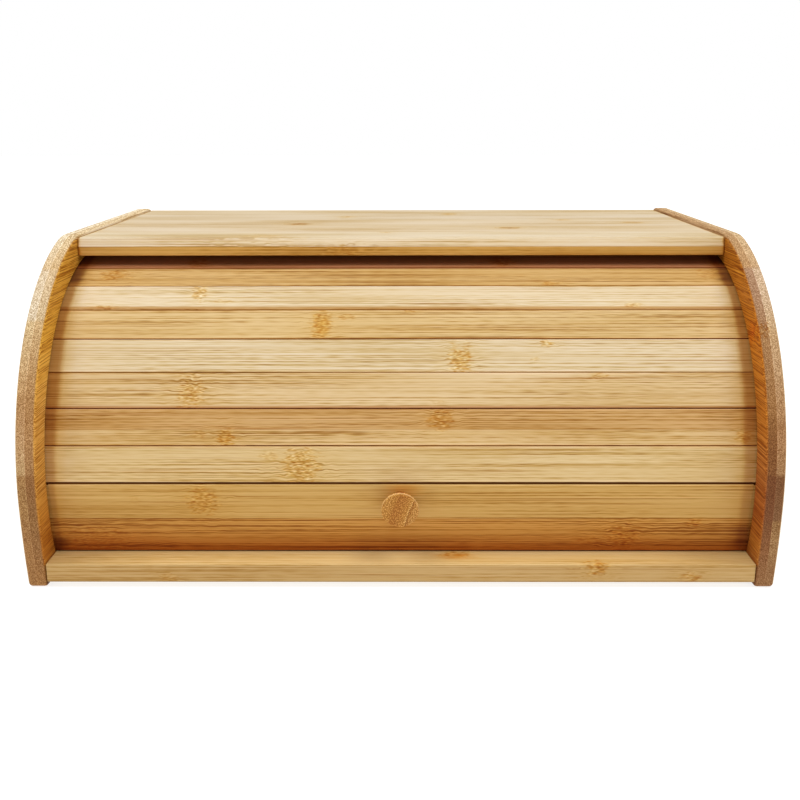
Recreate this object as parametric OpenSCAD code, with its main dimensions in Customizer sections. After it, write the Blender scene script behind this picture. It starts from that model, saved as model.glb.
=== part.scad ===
// Roll-top bread box of glued bamboo boards.
// Millimetres. Width along X, front towards -Y, height along Z.
// The origin is the middle of the footprint, on the surface the box stands on.
// The slatted shutter runs in one circular groove in each side board, so it
// turns about a single axis parallel to X.

/* [Box] */

// overall width over both side boards
box_w = 400; // [340:5:460]

// overall depth, front curve of the side boards to their back edge
box_d = 286; // [280:1:296]

// thickness of the side, base and top boards
board_t = 10.5; // [10:0.5:12]

// thickness of the back board
back_t = 8; // [6:0.5:9]

// how far the side boards reach below the base board
foot_h = 3; // [2:0.5:6]

// radius of the corners at the back of the side boards
back_corner_r = 6; // [3:1:10]

/* [Shutter] */

// radius of the circle that the joints between the slats lie on
door_r = 118.5; // [117:0.5:120]

// thickness of a slat
slat_t = 6; // [5:0.5:6.5]

// spacing of the slats along that circle
slat_pitch = 20; // [19.6:0.1:20.2]

// clearance between two slats
slat_gap = 0.25; // [0.2:0.05:0.5]

// bevel on the front edges of a slat
slat_bevel = 0.3; // [0.2:0.1:0.6]

// thickness of the lead rail
rail_t = 9; // [8:0.5:10]

// depth of the groove in each side board
groove_depth = 5; // [4:0.5:6]

// thickness of the cloth glued behind the slats
cloth_t = 0.6; // [0.4:0.1:0.6]

/* [Knob] */

// diameter of the knob's face
knob_d = 20; // [18:1:24]

// distance from the rail to the knob's face
knob_out = 12; // [11:0.5:13]

// height of the knob above the foot of the axis's normal on the rail
knob_up = 9.3; // [7:0.1:11]

/* [Fixings] */

// radius of a dowel
dowel_r = 3; // [2.5:0.5:3.5]

// length of a dowel
dowel_l = 24; // [20:2:28]

/* [Hidden] */

$fn = 96;

slats = 9;

// side boards: the front follows a circle a little larger than the shutter's
side_r = door_r + 15.8;
axis_y = -box_d / 2 + side_r;
axis_z = foot_h + board_t + 32;
curve_z = axis_z + 0.5;

inner = box_w / 2 - board_t;
base_top = foot_h + board_t;
base_front = -box_d / 2 + 2.8;
top_under = axis_z + door_r + 1;
top_over = top_under + board_t;
side_h = top_over + 1.5;
top_front = axis_y - 33;
board_back = box_d / 2 - 3;
back_y1 = board_back - 2;
back_y0 = back_y1 - back_t;
back_let = 3;

// shutter
step = slat_pitch / door_r * 180 / PI;
rail_phi = 185.2;
rail_half = 9.7;
first_phi = rail_phi - rail_half;
rail_face = door_r * cos(rail_half);
rail_up = door_r * sin(rail_half);
slat_out = door_r * cos(step / 2);
slat_in = slat_out - slat_t;
slat_hw = slat_in * tan(step / 2) - slat_gap / 2;
slat_face = slat_out * tan(step / 2) - slat_gap / 2;
slat_len = 2 * (inner + groove_depth - 0.5);
ring_in = slat_in - 0.33;
ring_out = door_r + 0.4;
rail_in = rail_face - rail_t;
rail_step = slat_in / cos(step / 2) * cos(rail_half) + 0.65;
rail_hw = inner - 0.4;
rail_low = 40;
rail_rebate = 4;
cloth_lap = 2.4;

// knob
knob_r = knob_d / 2;
screw_r = 1.75;

// dowel places on the boards' ends
base_dowels = [base_front + 30, board_back - 40];
top_dowels = [top_front + 30, board_back - 35];

// a profile drawn as (Y, Z), run along X from x0 to x1
module along_x(x0, x1) {
    translate([x0, 0, 0]) rotate([90, 0, 90]) linear_extrude(height = x1 - x0) children();
}

// children placed on the shutter's circle: local X points out of the box,
// local Y up along the shutter, at the angle phi about the shutter's axis
module on_ring(phi) {
    translate([axis_y, axis_z]) rotate(phi) mirror([0, 1]) children();
}

module side_outline() {
    // curved upper front
    intersection() {
        translate([axis_y, curve_z]) circle(r = side_r);
        translate([-box_d / 2 - 1, curve_z]) square([150, side_h - curve_z]);
    }
    // nearly straight lower front
    intersection() {
        translate([-box_d / 2 + 350, curve_z]) circle(r = 350);
        translate([-box_d / 2 - 1, 0]) square([150, curve_z]);
    }
    // body, with rounded back corners
    translate([axis_y - 20, 0]) square([box_d / 2 - axis_y + 20 - back_corner_r, side_h]);
    translate([box_d / 2 - 40, back_corner_r]) square([40, side_h - 2 * back_corner_r]);
    for (z = [back_corner_r, side_h - back_corner_r])
        translate([box_d / 2 - back_corner_r, z]) circle(r = back_corner_r);
}

// the circular groove, from just above the base board round to the back
module groove_ring() {
    intersection() {
        translate([axis_y, axis_z]) difference() {
            circle(r = ring_out);
            circle(r = ring_in);
        }
        translate([axis_y, axis_z]) polygon([
            [0, 0], [300 * cos(18), 300 * sin(18)], [300, 300], [-300, 300],
            [-300, base_top - axis_z], [0, base_top - axis_z]]);
    }
}

module side_panel(s) {
    x_out = s * box_w / 2;
    x_in = s * inner;
    difference() {
        along_x(min(x_out, x_in), max(x_out, x_in)) side_outline();
        // shutter groove
        along_x(s > 0 ? inner - 1 : -inner - groove_depth,
                s > 0 ? inner + groove_depth : -inner + 1) groove_ring();
        // groove for the back board
        translate([s > 0 ? inner - 1 : -inner - back_let, back_y0, base_top])
            cube([back_let + 1, back_t, top_under - base_top]);
        dowel_set(s, dowel_r + 0.05, 0.5);
    }
}

// the dowels of one side, or with grow and extra the holes for them
module dowel_set(s, r, extra) {
    x0 = inner + 8 - dowel_l - extra;
    for (y = base_dowels)
        translate([s > 0 ? x0 : -x0 - dowel_l - 2 * extra, y, foot_h + board_t / 2])
            rotate([0, 90, 0]) cylinder(r = r, h = dowel_l + 2 * extra);
    for (y = top_dowels)
        translate([s > 0 ? x0 : -x0 - dowel_l - 2 * extra, y, top_under + board_t / 2])
            rotate([0, 90, 0]) cylinder(r = r, h = dowel_l + 2 * extra);
}

module side_panel_left() color([0.80, 0.60, 0.36]) side_panel(-1);

module side_panel_right() color([0.76, 0.57, 0.36]) side_panel(1);

module base_board() color([0.87, 0.71, 0.47]) difference() {
    translate([-inner, base_front, foot_h])
        cube([2 * inner, board_back - base_front, board_t]);
    dowel_set(-1, dowel_r + 0.05, 0.5);
    dowel_set(1, dowel_r + 0.05, 0.5);
}

// the upper half of the front edge leans back a little
module top_panel() color([0.90, 0.77, 0.55]) difference() {
    along_x(-inner, inner) polygon([
        [top_front, top_under], [board_back, top_under],
        [board_back, top_over], [top_front + 1.2, top_over],
        [top_front, top_over - board_t / 2]]);
    dowel_set(-1, dowel_r + 0.05, 0.5);
    dowel_set(1, dowel_r + 0.05, 0.5);
}

module back_panel() color([0.85, 0.69, 0.46])
    translate([-inner - back_let + 0.2, back_y0, base_top])
        cube([2 * (inner + back_let - 0.2), back_t, top_under - base_top]);

module dowels_left() color([0.83, 0.70, 0.50]) dowel_set(-1, dowel_r, 0);

module dowels_right() color([0.83, 0.70, 0.50]) dowel_set(1, dowel_r, 0);

// a flat slat whose ends run in the grooves, narrower at its back so that the
// joints close round the circle, and bevelled along its front edges
module slat(i) {
    b = slat_bevel;
    side = slat_face - b * tan(step / 2);
    along_x(-slat_len / 2, slat_len / 2) on_ring(first_phi - (i - 0.5) * step)
        polygon([[slat_in, -slat_hw], [slat_out - b, -side],
                 [slat_out, -slat_face + b], [slat_out, slat_face - b],
                 [slat_out - b, side], [slat_in, slat_hw]]);
}

module slat_01() color([0.88, 0.73, 0.49]) slat(1);
module slat_02() color([0.80, 0.60, 0.34]) slat(2);
module slat_03() color([0.85, 0.69, 0.44]) slat(3);
module slat_04() color([0.91, 0.79, 0.57]) slat(4);
module slat_05() color([0.87, 0.71, 0.46]) slat(5);
module slat_06() color([0.92, 0.80, 0.60]) slat(6);
module slat_07() color([0.84, 0.67, 0.42]) slat(7);
module slat_08() color([0.88, 0.73, 0.50]) slat(8);
module slat_09() color([0.86, 0.70, 0.46]) slat(9);

// the rail is a chord of the slats' circle; its ends carry curved tenons
module rail_profile() {
    intersection() {
        on_ring(rail_phi) polygon([
            [rail_in, -rail_low], [rail_face, -rail_low],
            [rail_face, rail_up - 1.25], [rail_face - 0.6, rail_up - 0.65],
            [rail_step, rail_up - 1.12], [rail_step, rail_up - 1.12 - rail_rebate],
            [rail_in, rail_up - 1.12 - rail_rebate]]);
        translate([-box_d, base_top + 0.3]) square([box_d, 200]);
    }
}

module lead_rail() color([0.80, 0.60, 0.33]) difference() {
    union() {
        along_x(-rail_hw, rail_hw) rail_profile();
        along_x(-slat_len / 2, slat_len / 2) intersection() {
            rail_profile();
            translate([axis_y, axis_z]) difference() {
                circle(r = door_r);
                circle(r = slat_in);
            }
        }
    }
    // clearance hole for the knob's screw
    knob_place() translate([0, 0, -rail_t - 1]) cylinder(r = screw_r + 0.2, h = rail_t + 2);
}

// cloth in flat strips, one behind each slat; the first strip reaches a
// little further, into the rebate of the rail
module canvas_backing() color([0.86, 0.82, 0.72])
    along_x(-inner + 7, inner - 7)
        for (i = [1 : slats]) {
            hw = slat_in * tan(step / 2);
            low = hw + (i == 1 ? cloth_lap : 0);
            on_ring(first_phi - (i - 0.5) * step)
                translate([slat_in - 0.02 - cloth_t, -low])
                    square([cloth_t, low + hw]);
        }

// local Z along the knob's axis, from the rail's front face outwards
module knob_place() {
    translate([0, axis_y, axis_z]) rotate([rail_phi - 90, 0, 0])
        translate([0, knob_up, rail_face]) children();
}

// narrow at the rail, widening to a flat face with a rounded rim
module knob() color([0.80, 0.62, 0.39]) knob_place() difference() {
    rotate_extrude() {
        polygon([[0, 0], [5.6, 0], [5.2, 2.5], [5.6, 4],
                 [knob_r - 0.35, knob_out - 2.5], [knob_r - 1.4, knob_out], [0, knob_out]]);
        translate([knob_r - 1.4, knob_out - 1.4]) circle(r = 1.4);
    }
    translate([0, 0, -1]) cylinder(r = screw_r + 0.05, h = 9);
}

// pan-headed screw from inside the box, through washer and rail into the knob
module knob_screw() color([0.72, 0.73, 0.74]) knob_place() difference() {
    union() {
        translate([0, 0, -rail_t - 1.1]) cylinder(r = screw_r, h = rail_t + 1.1 + 7.5);
        translate([0, 0, -rail_t - 1.1 - 2.4]) cylinder(r = 3.6, h = 2.4);
    }
    // cross recess
    for (a = [0, 90]) rotate(a)
        translate([-2, -0.45, -rail_t - 1.1 - 3]) cube([4, 0.9, 1.9]);
}

module knob_washer() color([0.75, 0.76, 0.77]) knob_place() difference() {
    translate([0, 0, -rail_t - 1.05]) cylinder(r = 5.5, h = 1);
    translate([0, 0, -rail_t - 2]) cylinder(r = screw_r + 0.15, h = 3);
}

side_panel_left();
side_panel_right();
base_board();
top_panel();
back_panel();
dowels_left();
dowels_right();
slat_01();
slat_02();
slat_03();
slat_04();
slat_05();
slat_06();
slat_07();
slat_08();
slat_09();
lead_rail();
canvas_backing();
knob();
knob_screw();
knob_washer();
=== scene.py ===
import math

import bmesh
import bpy
from mathutils import Matrix, Vector


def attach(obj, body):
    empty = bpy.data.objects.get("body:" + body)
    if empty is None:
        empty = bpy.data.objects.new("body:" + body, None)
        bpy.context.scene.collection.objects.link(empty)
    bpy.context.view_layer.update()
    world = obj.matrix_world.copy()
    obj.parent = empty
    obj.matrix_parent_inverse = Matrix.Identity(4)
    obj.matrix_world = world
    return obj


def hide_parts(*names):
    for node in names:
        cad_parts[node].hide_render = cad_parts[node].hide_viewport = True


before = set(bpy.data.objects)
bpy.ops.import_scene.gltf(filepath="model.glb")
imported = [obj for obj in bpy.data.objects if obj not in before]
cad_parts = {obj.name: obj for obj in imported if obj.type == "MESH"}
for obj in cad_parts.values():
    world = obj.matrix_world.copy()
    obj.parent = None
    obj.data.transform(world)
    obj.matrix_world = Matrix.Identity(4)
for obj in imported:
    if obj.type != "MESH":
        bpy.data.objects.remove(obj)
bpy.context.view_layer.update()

scene = bpy.context.scene

# --------------------------------------------------------------------------
# measures of the construction, in millimetres
# --------------------------------------------------------------------------
MM = 0.001
INNER = 189.5
HALF_W = 200.0
AXIS_Y, AXIS_Z = -8.7, 45.5
DOOR_R = 118.5
STEP = math.degrees(20.0 / DOOR_R)
RAIL_PHI, RAIL_HALF = 185.2, 9.7
FIRST_PHI = RAIL_PHI - RAIL_HALF
RAIL_FACE = DOOR_R * math.cos(math.radians(RAIL_HALF))
RAIL_UP = DOOR_R * math.sin(math.radians(RAIL_HALF))
KNOB_UP = 9.3
SLAT_OUT = DOOR_R * math.cos(math.radians(STEP / 2))
SLAT_IN = SLAT_OUT - 6.0
SLAT_HW = SLAT_IN * math.tan(math.radians(STEP / 2)) - 0.125
SLAT_FACE = SLAT_OUT * math.tan(math.radians(STEP / 2)) - 0.125
SLAT_X = 194.0
BASE_TOP = 13.5
TOP_UNDER, TOP_OVER = 165.0, 175.5
BASE_FRONT, BOARD_BACK, TOP_FRONT = -140.2, 140.0, -41.7
BACK_Y0, BACK_Y1 = 130.0, 138.0
BASE_DOWELS = (BASE_FRONT + 30, BOARD_BACK - 40)
TOP_DOWELS = (TOP_FRONT + 30, BOARD_BACK - 35)


def ring_axes(phi):
    """Outward and up-the-shutter directions at an angle on the shutter's circle."""
    c, s = math.cos(math.radians(phi)), math.sin(math.radians(phi))
    return (c, s), (s, -c)


def on_ring(phi, points):
    """(n, s) points on the circle at phi, as (y, z)."""
    (ny, nz), (sy, sz) = ring_axes(phi)
    return [(AXIS_Y + n * ny + s * sy, AXIS_Z + n * nz + s * sz) for n, s in points]


# --------------------------------------------------------------------------
# mesh helpers
# --------------------------------------------------------------------------
def area2(poly):
    return sum(a[0] * b[1] - b[0] * a[1] for a, b in zip(poly, poly[1:] + poly[:1]))


def round_poly(points, radii, seg=4):
    """Polygon with each corner replaced by an arc of its own radius."""
    if not hasattr(radii, "__len__"):
        radii = [radii] * len(points)
    out = []
    n = len(points)
    for i, r in enumerate(radii):
        p, a, b = (Vector(points[i]), Vector(points[i - 1]), Vector(points[(i + 1) % n]))
        if r <= 0:
            out.append(tuple(p))
            continue
        u, w = (a - p).normalized(), (b - p).normalized()
        turn = math.pi - u.angle(w)
        if turn < 1e-4:
            out.append(tuple(p))
            continue
        t = r * math.tan(turn / 2)
        mid = (u + w).normalized()
        centre = p + mid * (r / math.cos(turn / 2))
        start, end = p + u * t - centre, p + w * t - centre
        sweep = start.angle_signed(end)
        for k in range(seg + 1):
            f = sweep * k / seg
            c, s = math.cos(-f), math.sin(-f)
            out.append((centre.x + start.x * c - start.y * s, centre.y + start.x * s + start.y * c))
    return out


def inset(poly, d):
    """Polygon moved inwards by d at every edge."""
    if d <= 0:
        return list(poly)
    sign = 1 if area2(poly) > 0 else -1
    n, out = len(poly), []
    for i in range(n):
        p, a, b = Vector(poly[i]), Vector(poly[i - 1]), Vector(poly[(i + 1) % n])
        e1, e2 = (p - a).normalized(), (b - p).normalized()
        n1, n2 = Vector((-e1.y, e1.x)) * sign, Vector((-e2.y, e2.x)) * sign
        out.append(tuple(p + (n1 + n2) * (d / max(0.3, 1 + n1.dot(n2)))))
    return out


def clean(poly, least=1e-4):
    out = []
    for p in poly:
        if not out or (Vector(p) - Vector(out[-1])).length > least:
            out.append(p)
    if (Vector(out[0]) - Vector(out[-1])).length <= least:
        out.pop()
    return out


def link(name, mesh):
    ob = bpy.data.objects.new(name, mesh)
    scene.collection.objects.link(ob)
    return ob


def from_bmesh(name, bm):
    bmesh.ops.recalc_face_normals(bm, faces=bm.faces[:])
    mesh = bpy.data.meshes.new(name)
    bm.to_mesh(mesh)
    bm.free()
    return link(name, mesh)


def prism(name, profile, x0, x1, r0=0.3, r1=None, seg=3):
    """A (y, z) outline run along X from x0 to x1, with arrises rounded to r0 at
    the x0 end and r1 at the x1 end."""
    r1 = r0 if r1 is None else r1
    profile = clean(profile)
    layers = [(x0 + r0 * (1 - math.cos(math.pi / 2 * k / seg)), r0 * (1 - math.sin(math.pi / 2 * k / seg))) for k in range(seg + 1)]
    layers += [(x1 - r1 * (1 - math.cos(math.pi / 2 * k / seg)), r1 * (1 - math.sin(math.pi / 2 * k / seg))) for k in range(seg, -1, -1)]
    bm = bmesh.new()
    rings = []
    for x, d in layers:
        rings.append([bm.verts.new((x * MM, y * MM, z * MM)) for y, z in inset(profile, d)])
    n = len(profile)
    for a, b in zip(rings, rings[1:]):
        for i in range(n):
            j = (i + 1) % n
            bm.faces.new((a[i], a[j], b[j], b[i]))
    bm.faces.new(rings[0][::-1])
    bm.faces.new(rings[-1])
    return from_bmesh(name, bm)


def revolve(name, profile, place, count=96):
    """A closed (r, z) profile turned about local Z. place is a 4x4 matrix in millimetres."""
    bm = bmesh.new()
    rings = []
    for r, z in profile:
        if r < 1e-6:
            rings.append([bm.verts.new(place @ Vector((0, 0, z)) * MM)])
        else:
            rings.append([bm.verts.new(place @ Vector((r * math.cos(a), r * math.sin(a), z)) * MM)
                          for a in (2 * math.pi * k / count for k in range(count))])
    for a, b in zip(rings, rings[1:] + rings[:1]):
        if len(a) == 1 and len(b) == 1:
            continue
        for k in range(count):
            j = (k + 1) % count
            if len(a) == 1:
                bm.faces.new((a[0], b[k], b[j]))
            elif len(b) == 1:
                bm.faces.new((a[k], b[0], a[j]))
            else:
                bm.faces.new((a[k], b[k], b[j], a[j]))
    return from_bmesh(name, bm)


def combine(ob, tool, operation):
    """Boolean of ob with tool, applied; the tool goes."""
    mod = ob.modifiers.new("cut", "BOOLEAN")
    mod.operation, mod.solver, mod.object = operation, "EXACT", tool
    dg = bpy.context.evaluated_depsgraph_get()
    dg.update()
    mesh = bpy.data.meshes.new_from_object(ob.evaluated_get(dg))
    ob.modifiers.remove(mod)
    old = ob.data
    ob.data = mesh
    bpy.data.meshes.remove(old)
    data = tool.data
    bpy.data.objects.remove(tool)
    bpy.data.meshes.remove(data)
    bm = bmesh.new()
    bm.from_mesh(ob.data)
    bmesh.ops.remove_doubles(bm, verts=bm.verts[:], dist=2e-7)
    bmesh.ops.dissolve_degenerate(bm, edges=bm.edges[:], dist=2e-7)
    bm.to_mesh(ob.data)
    bm.free()
    return ob


def join(name, obs):
    bm = bmesh.new()
    for o in obs:
        bm.from_mesh(o.data)
    mesh = bpy.data.meshes.new(name)
    bm.to_mesh(mesh)
    bm.free()
    for o in obs:
        data = o.data
        bpy.data.objects.remove(o)
        bpy.data.meshes.remove(data)
    return link(name, mesh)


def smooth(ob, angle=35):
    me = ob.data
    me.polygons.foreach_set("use_smooth", [True] * len(me.polygons))
    me.set_sharp_from_angle(angle=math.radians(angle))
    mod = ob.modifiers.new("normals", "WEIGHTED_NORMAL")
    mod.mode, mod.weight, mod.keep_sharp = "FACE_AREA", 100, True
    return ob


def cylinder_x(y, z, r, x0, x1, count=48):
    return prism("tool", [(y + r * math.cos(2 * math.pi * k / count), z + r * math.sin(2 * math.pi * k / count))
                          for k in range(count)], x0, x1, 0.0, 0.0, 1)


def plain_prism(poly, x0, x1):
    bm = bmesh.new()
    a = [bm.verts.new((x0 * MM, y * MM, z * MM)) for y, z in poly]
    b = [bm.verts.new((x1 * MM, y * MM, z * MM)) for y, z in poly]
    n = len(poly)
    for i in range(n):
        j = (i + 1) % n
        bm.faces.new((a[i], a[j], b[j], b[i]))
    bm.faces.new(a[::-1])
    bm.faces.new(b)
    return from_bmesh("tool", bm)


# --------------------------------------------------------------------------
# material helpers
# --------------------------------------------------------------------------
class Net:
    """Builds a node tree from expressions. Lengths in it are millimetres."""

    def __init__(self, name):
        self.mat = bpy.data.materials.new(name)
        self.mat.use_nodes = True
        self.nt = self.mat.node_tree
        self.nt.nodes.clear()

    def add(self, kind, **props):
        node = self.nt.nodes.new(kind)
        for k, v in props.items():
            setattr(node, k, v)
        return node

    def put(self, socket, value):
        if value is None:
            return
        if isinstance(value, bpy.types.NodeSocket):
            self.nt.links.new(value, socket)
        else:
            socket.default_value = value

    def m(self, op, a, b=None, c=None, clamp=False):
        node = self.add("ShaderNodeMath", operation=op, use_clamp=clamp)
        for i, v in enumerate((a, b, c)):
            self.put(node.inputs[i], v)
        return node.outputs[0]

    def plus(self, *parts):
        out = parts[0]
        for p in parts[1:]:
            out = self.m("ADD", out, p)
        return out

    def times(self, a, b):
        return self.m("MULTIPLY", a, b)

    def dot(self, vec, direction):
        node = self.add("ShaderNodeVectorMath", operation="DOT_PRODUCT")
        self.put(node.inputs[0], vec)
        self.put(node.inputs[1], tuple(direction))
        return node.outputs["Value"]

    def away(self, vec, origin):
        node = self.add("ShaderNodeVectorMath", operation="SUBTRACT")
        self.put(node.inputs[0], vec)
        self.put(node.inputs[1], tuple(origin))
        return node.outputs["Vector"]

    def xyz(self, x, y, z):
        node = self.add("ShaderNodeCombineXYZ")
        for i, v in enumerate((x, y, z)):
            self.put(node.inputs[i], v)
        return node.outputs[0]

    def noise(self, vec, detail=0.0, rough=0.5, distortion=0.0):
        node = self.add("ShaderNodeTexNoise", noise_dimensions="3D")
        self.put(node.inputs["Vector"], vec)
        node.inputs["Scale"].default_value = 1.0
        node.inputs["Detail"].default_value = detail
        node.inputs["Roughness"].default_value = rough
        node.inputs["Distortion"].default_value = distortion
        return node.outputs[0]

    def cells(self, vec, feature="F1", out="Distance", randomness=1.0):
        node = self.add("ShaderNodeTexVoronoi", voronoi_dimensions="3D", feature=feature)
        self.put(node.inputs["Vector"], vec)
        node.inputs["Scale"].default_value = 1.0
        node.inputs["Randomness"].default_value = randomness
        return node.outputs[out]

    def span(self, x, lo, hi, a=0.0, b=1.0, soft=True):
        node = self.add("ShaderNodeMapRange", interpolation_type="SMOOTHSTEP" if soft else "LINEAR", clamp=True)
        for i, v in enumerate((x, lo, hi, a, b)):
            self.put(node.inputs[i], v)
        return node.outputs[0]

    def ramp(self, fac, stops, kind="LINEAR"):
        node = self.add("ShaderNodeValToRGB")
        node.color_ramp.interpolation = kind
        els = node.color_ramp.elements
        els[0].position, els[1].position = 0.0, 1.0
        while len(els) < len(stops):
            els.new(0.5)
        for e, (p, _) in zip(els, stops):
            e.position = p
        for e, (p, c) in zip(els, stops):
            e.position = p
            e.color = (*c, 1.0) if len(c) == 3 else c
        self.put(node.inputs[0], fac)
        return node.outputs[0]

    def mix(self, fac, a, b, blend="MIX"):
        node = self.add("ShaderNodeMix", data_type="RGBA", blend_type=blend, clamp_factor=True)
        self.put(node.inputs[0], fac)
        for socket, v in ((node.inputs[6], a), (node.inputs[7], b)):
            if not isinstance(v, bpy.types.NodeSocket):
                v = (*v, 1.0) if len(v) == 3 else v
            self.put(socket, v)
        return node.outputs[2]

    def surface(self, colour, roughness, bump=None, bump_mm=0.05, strength=1.0, **fixed):
        bsdf = self.add("ShaderNodeBsdfPrincipled")
        self.put(bsdf.inputs["Base Color"], colour)
        self.put(bsdf.inputs["Roughness"], roughness)
        for k, v in fixed.items():
            bsdf.inputs[k].default_value = v
        if bump is not None:
            b = self.add("ShaderNodeBump")
            b.inputs["Strength"].default_value = strength
            b.inputs["Distance"].default_value = bump_mm * MM
            self.put(b.inputs["Height"], bump)
            self.put(bsdf.inputs["Normal"], b.outputs[0])
        out = self.add("ShaderNodeOutputMaterial")
        self.nt.links.new(bsdf.outputs[0], out.inputs[0])
        return self.mat


def scaled(v, k):
    return tuple(c * k for c in v)


def cross(a, b):
    return tuple(Vector(a).cross(Vector(b)))


def bamboo(name, grain, across, tone, origin=(0, 0, 0), seed=0.0, contrast=1.0, size=1.0,
           strips=(), ply=None, ply_tone=None, ply_strips=(), fade=None, knots=(),
           edge=None, edge_tone=None, edge_outer=None, fleck=1.0, stains_and_painted_light=(), gain=(1, 1, 1),
           ends=None, lips=None, joint_shade=((0.8, 0.62, 0.40), (0.9, 0.76, 0.60)), arris_highlight=(1.13, 1.12, 1.18), under=None,
           cloud=1.0, short=1.0, heavy=None, calm=None, bright=(1.10, 1.16, 1.26), sole=None, coarse=1.0, warmth=0.85):
    """Laminated bamboo. grain and across are directions in the row frame and depth is
    square to both. tone is one colour, or a list of (across in mm, colour) from which
    each strip's colour comes; strips are the glue lines' places across. ply is the
    depth of the glue line between two layers, and ply_tone and ply_strips are for the
    layer beyond it. knots are (g, a, half length, half width, strength) with an
    optional depth and half depth. edge is the direction of the board's thickness, for
    boards whose narrow faces have a colour of their own. ends is a painted shade: where
    along the grain the board grows darker towards the side boards. lips are the places
    of the long edges, seam the factors of the painted shade right at the lower and
    upper one, rubbed that of the painted highlight lines beside them, under a wider
    painted shade along the lower one. heavy is a place across below which the fibres
    are stronger. calm has the strength of the fibres in the two layers, bright the
    colour factor of the light lines, and sole is a painted shade along the lowest
    arris, between two depths. coarse has the strength of the wider fibres and warmth
    that of the warmer ground under the knots."""
    t = Net(name)
    pos = t.add("ShaderNodeTexCoord")
    point, normal = pos.outputs["Object"], pos.outputs["Normal"]
    depth = cross(grain, across)
    local = t.away(point, scaled(origin, MM))
    g, a, d = (t.dot(local, scaled(v, 1000)) for v in (grain, across, depth))

    def gained(c):
        return tuple(min(0.95, c[i] * gain[i]) for i in range(3))

    # strips and layers: each has its own colour and its own place in the noise
    def by_strip(tones, lo, hi):
        if not isinstance(tones, list):
            return None
        stops = [(min(1.0, max(0.0, (p - lo) / (hi - lo))), gained(c)) for p, c in tones]
        return t.ramp(t.span(a, lo, hi, soft=False), stops, "LINEAR")

    def steps(lines, jump):
        out = None
        for i, line in enumerate(lines):
            s = t.times(t.m("GREATER_THAN", a, line), jump * (1 + 0.37 * ((i * 7) % 5)))
            out = s if out is None else t.plus(out, s)
        return out

    lo = min([p for p, _ in tone]) if isinstance(tone, list) else 0
    hi = max([p for p, _ in tone]) if isinstance(tone, list) else 1
    base = by_strip(tone, lo, hi) or gained(tone)
    shift = steps(strips, 37.0)
    beyond = None
    if ply is not None:
        beyond = t.m("GREATER_THAN", d, ply)
        other = by_strip(ply_tone, lo, hi) or gained(ply_tone)
        base = t.mix(beyond, base, other)
        move = t.times(beyond, 53.0)
        more = steps(ply_strips, 29.0)
        if more is not None:
            if shift is not None:
                shift = t.plus(t.times(shift, t.m("SUBTRACT", 1.0, beyond)), t.times(more, beyond))
            else:
                shift = t.times(more, beyond)
        shift = move if shift is None else t.plus(shift, move)
    gs = t.plus(g, 1000.0 + 91.0 * seed)
    if shift is not None:
        gs = t.plus(gs, shift)

    def field(lg, la, detail=0.0, rough=0.5, off=0.0, distortion=0.0):
        """Noise with its features about lg mm long and la mm across."""
        return t.noise(t.xyz(t.m("MULTIPLY_ADD", gs, 1 / lg, off), t.m("MULTIPLY", a, 1 / la), t.m("MULTIPLY", d, 1 / la)), detail, rough, distortion)

    # the fibres wander a little
    wander = field(140, 12, 1.0)
    aw = t.plus(a, t.times(t.m("SUBTRACT", wander, 0.5), 0.8))

    # knots: an uneven patch for each, and a wider one where the fibres turn
    patch = flare = None
    if knots:
        ragged = t.times(t.m("SUBTRACT", field(5.0, 1.2, 1.5), 0.5), 2.2)
        for k in knots:
            g0, a0, w, h, strength = k[:5]
            dg = t.m("MULTIPLY", t.m("SUBTRACT", g, g0), 1 / w)
            da = t.m("MULTIPLY", t.m("SUBTRACT", a, a0), 1 / h)
            q = t.plus(t.times(dg, dg), t.times(da, da))
            if len(k) > 5:
                dd = t.m("MULTIPLY", t.m("SUBTRACT", d, k[5]), 1 / k[6])
                q = t.plus(q, t.times(dd, dd))
            q = t.m("SQRT", q)
            near = t.span(t.plus(q, ragged), 0.50, 1.15, strength, 0.0)
            wide = t.span(q, 0.6, 3.4, strength, 0.0)
            patch = near if patch is None else t.m("MAXIMUM", patch, near)
            flare = wide if flare is None else t.m("MAXIMUM", flare, wide)
        curl = field(8.0, 3.5, 1.0, off=9.0)
        aw = t.plus(aw, t.times(t.times(t.m("SUBTRACT", curl, 0.5), flare), 3.4))

    def fibre(length, width, detail=0.0, off=0.0):
        return t.noise(t.xyz(t.m("MULTIPLY", gs, 1 / length), t.m("MULTIPLY", t.plus(aw, 17.3 * seed + off), 1 / (width * size)),
                             t.m("MULTIPLY", d, 1 / (width * size))), detail)

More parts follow.
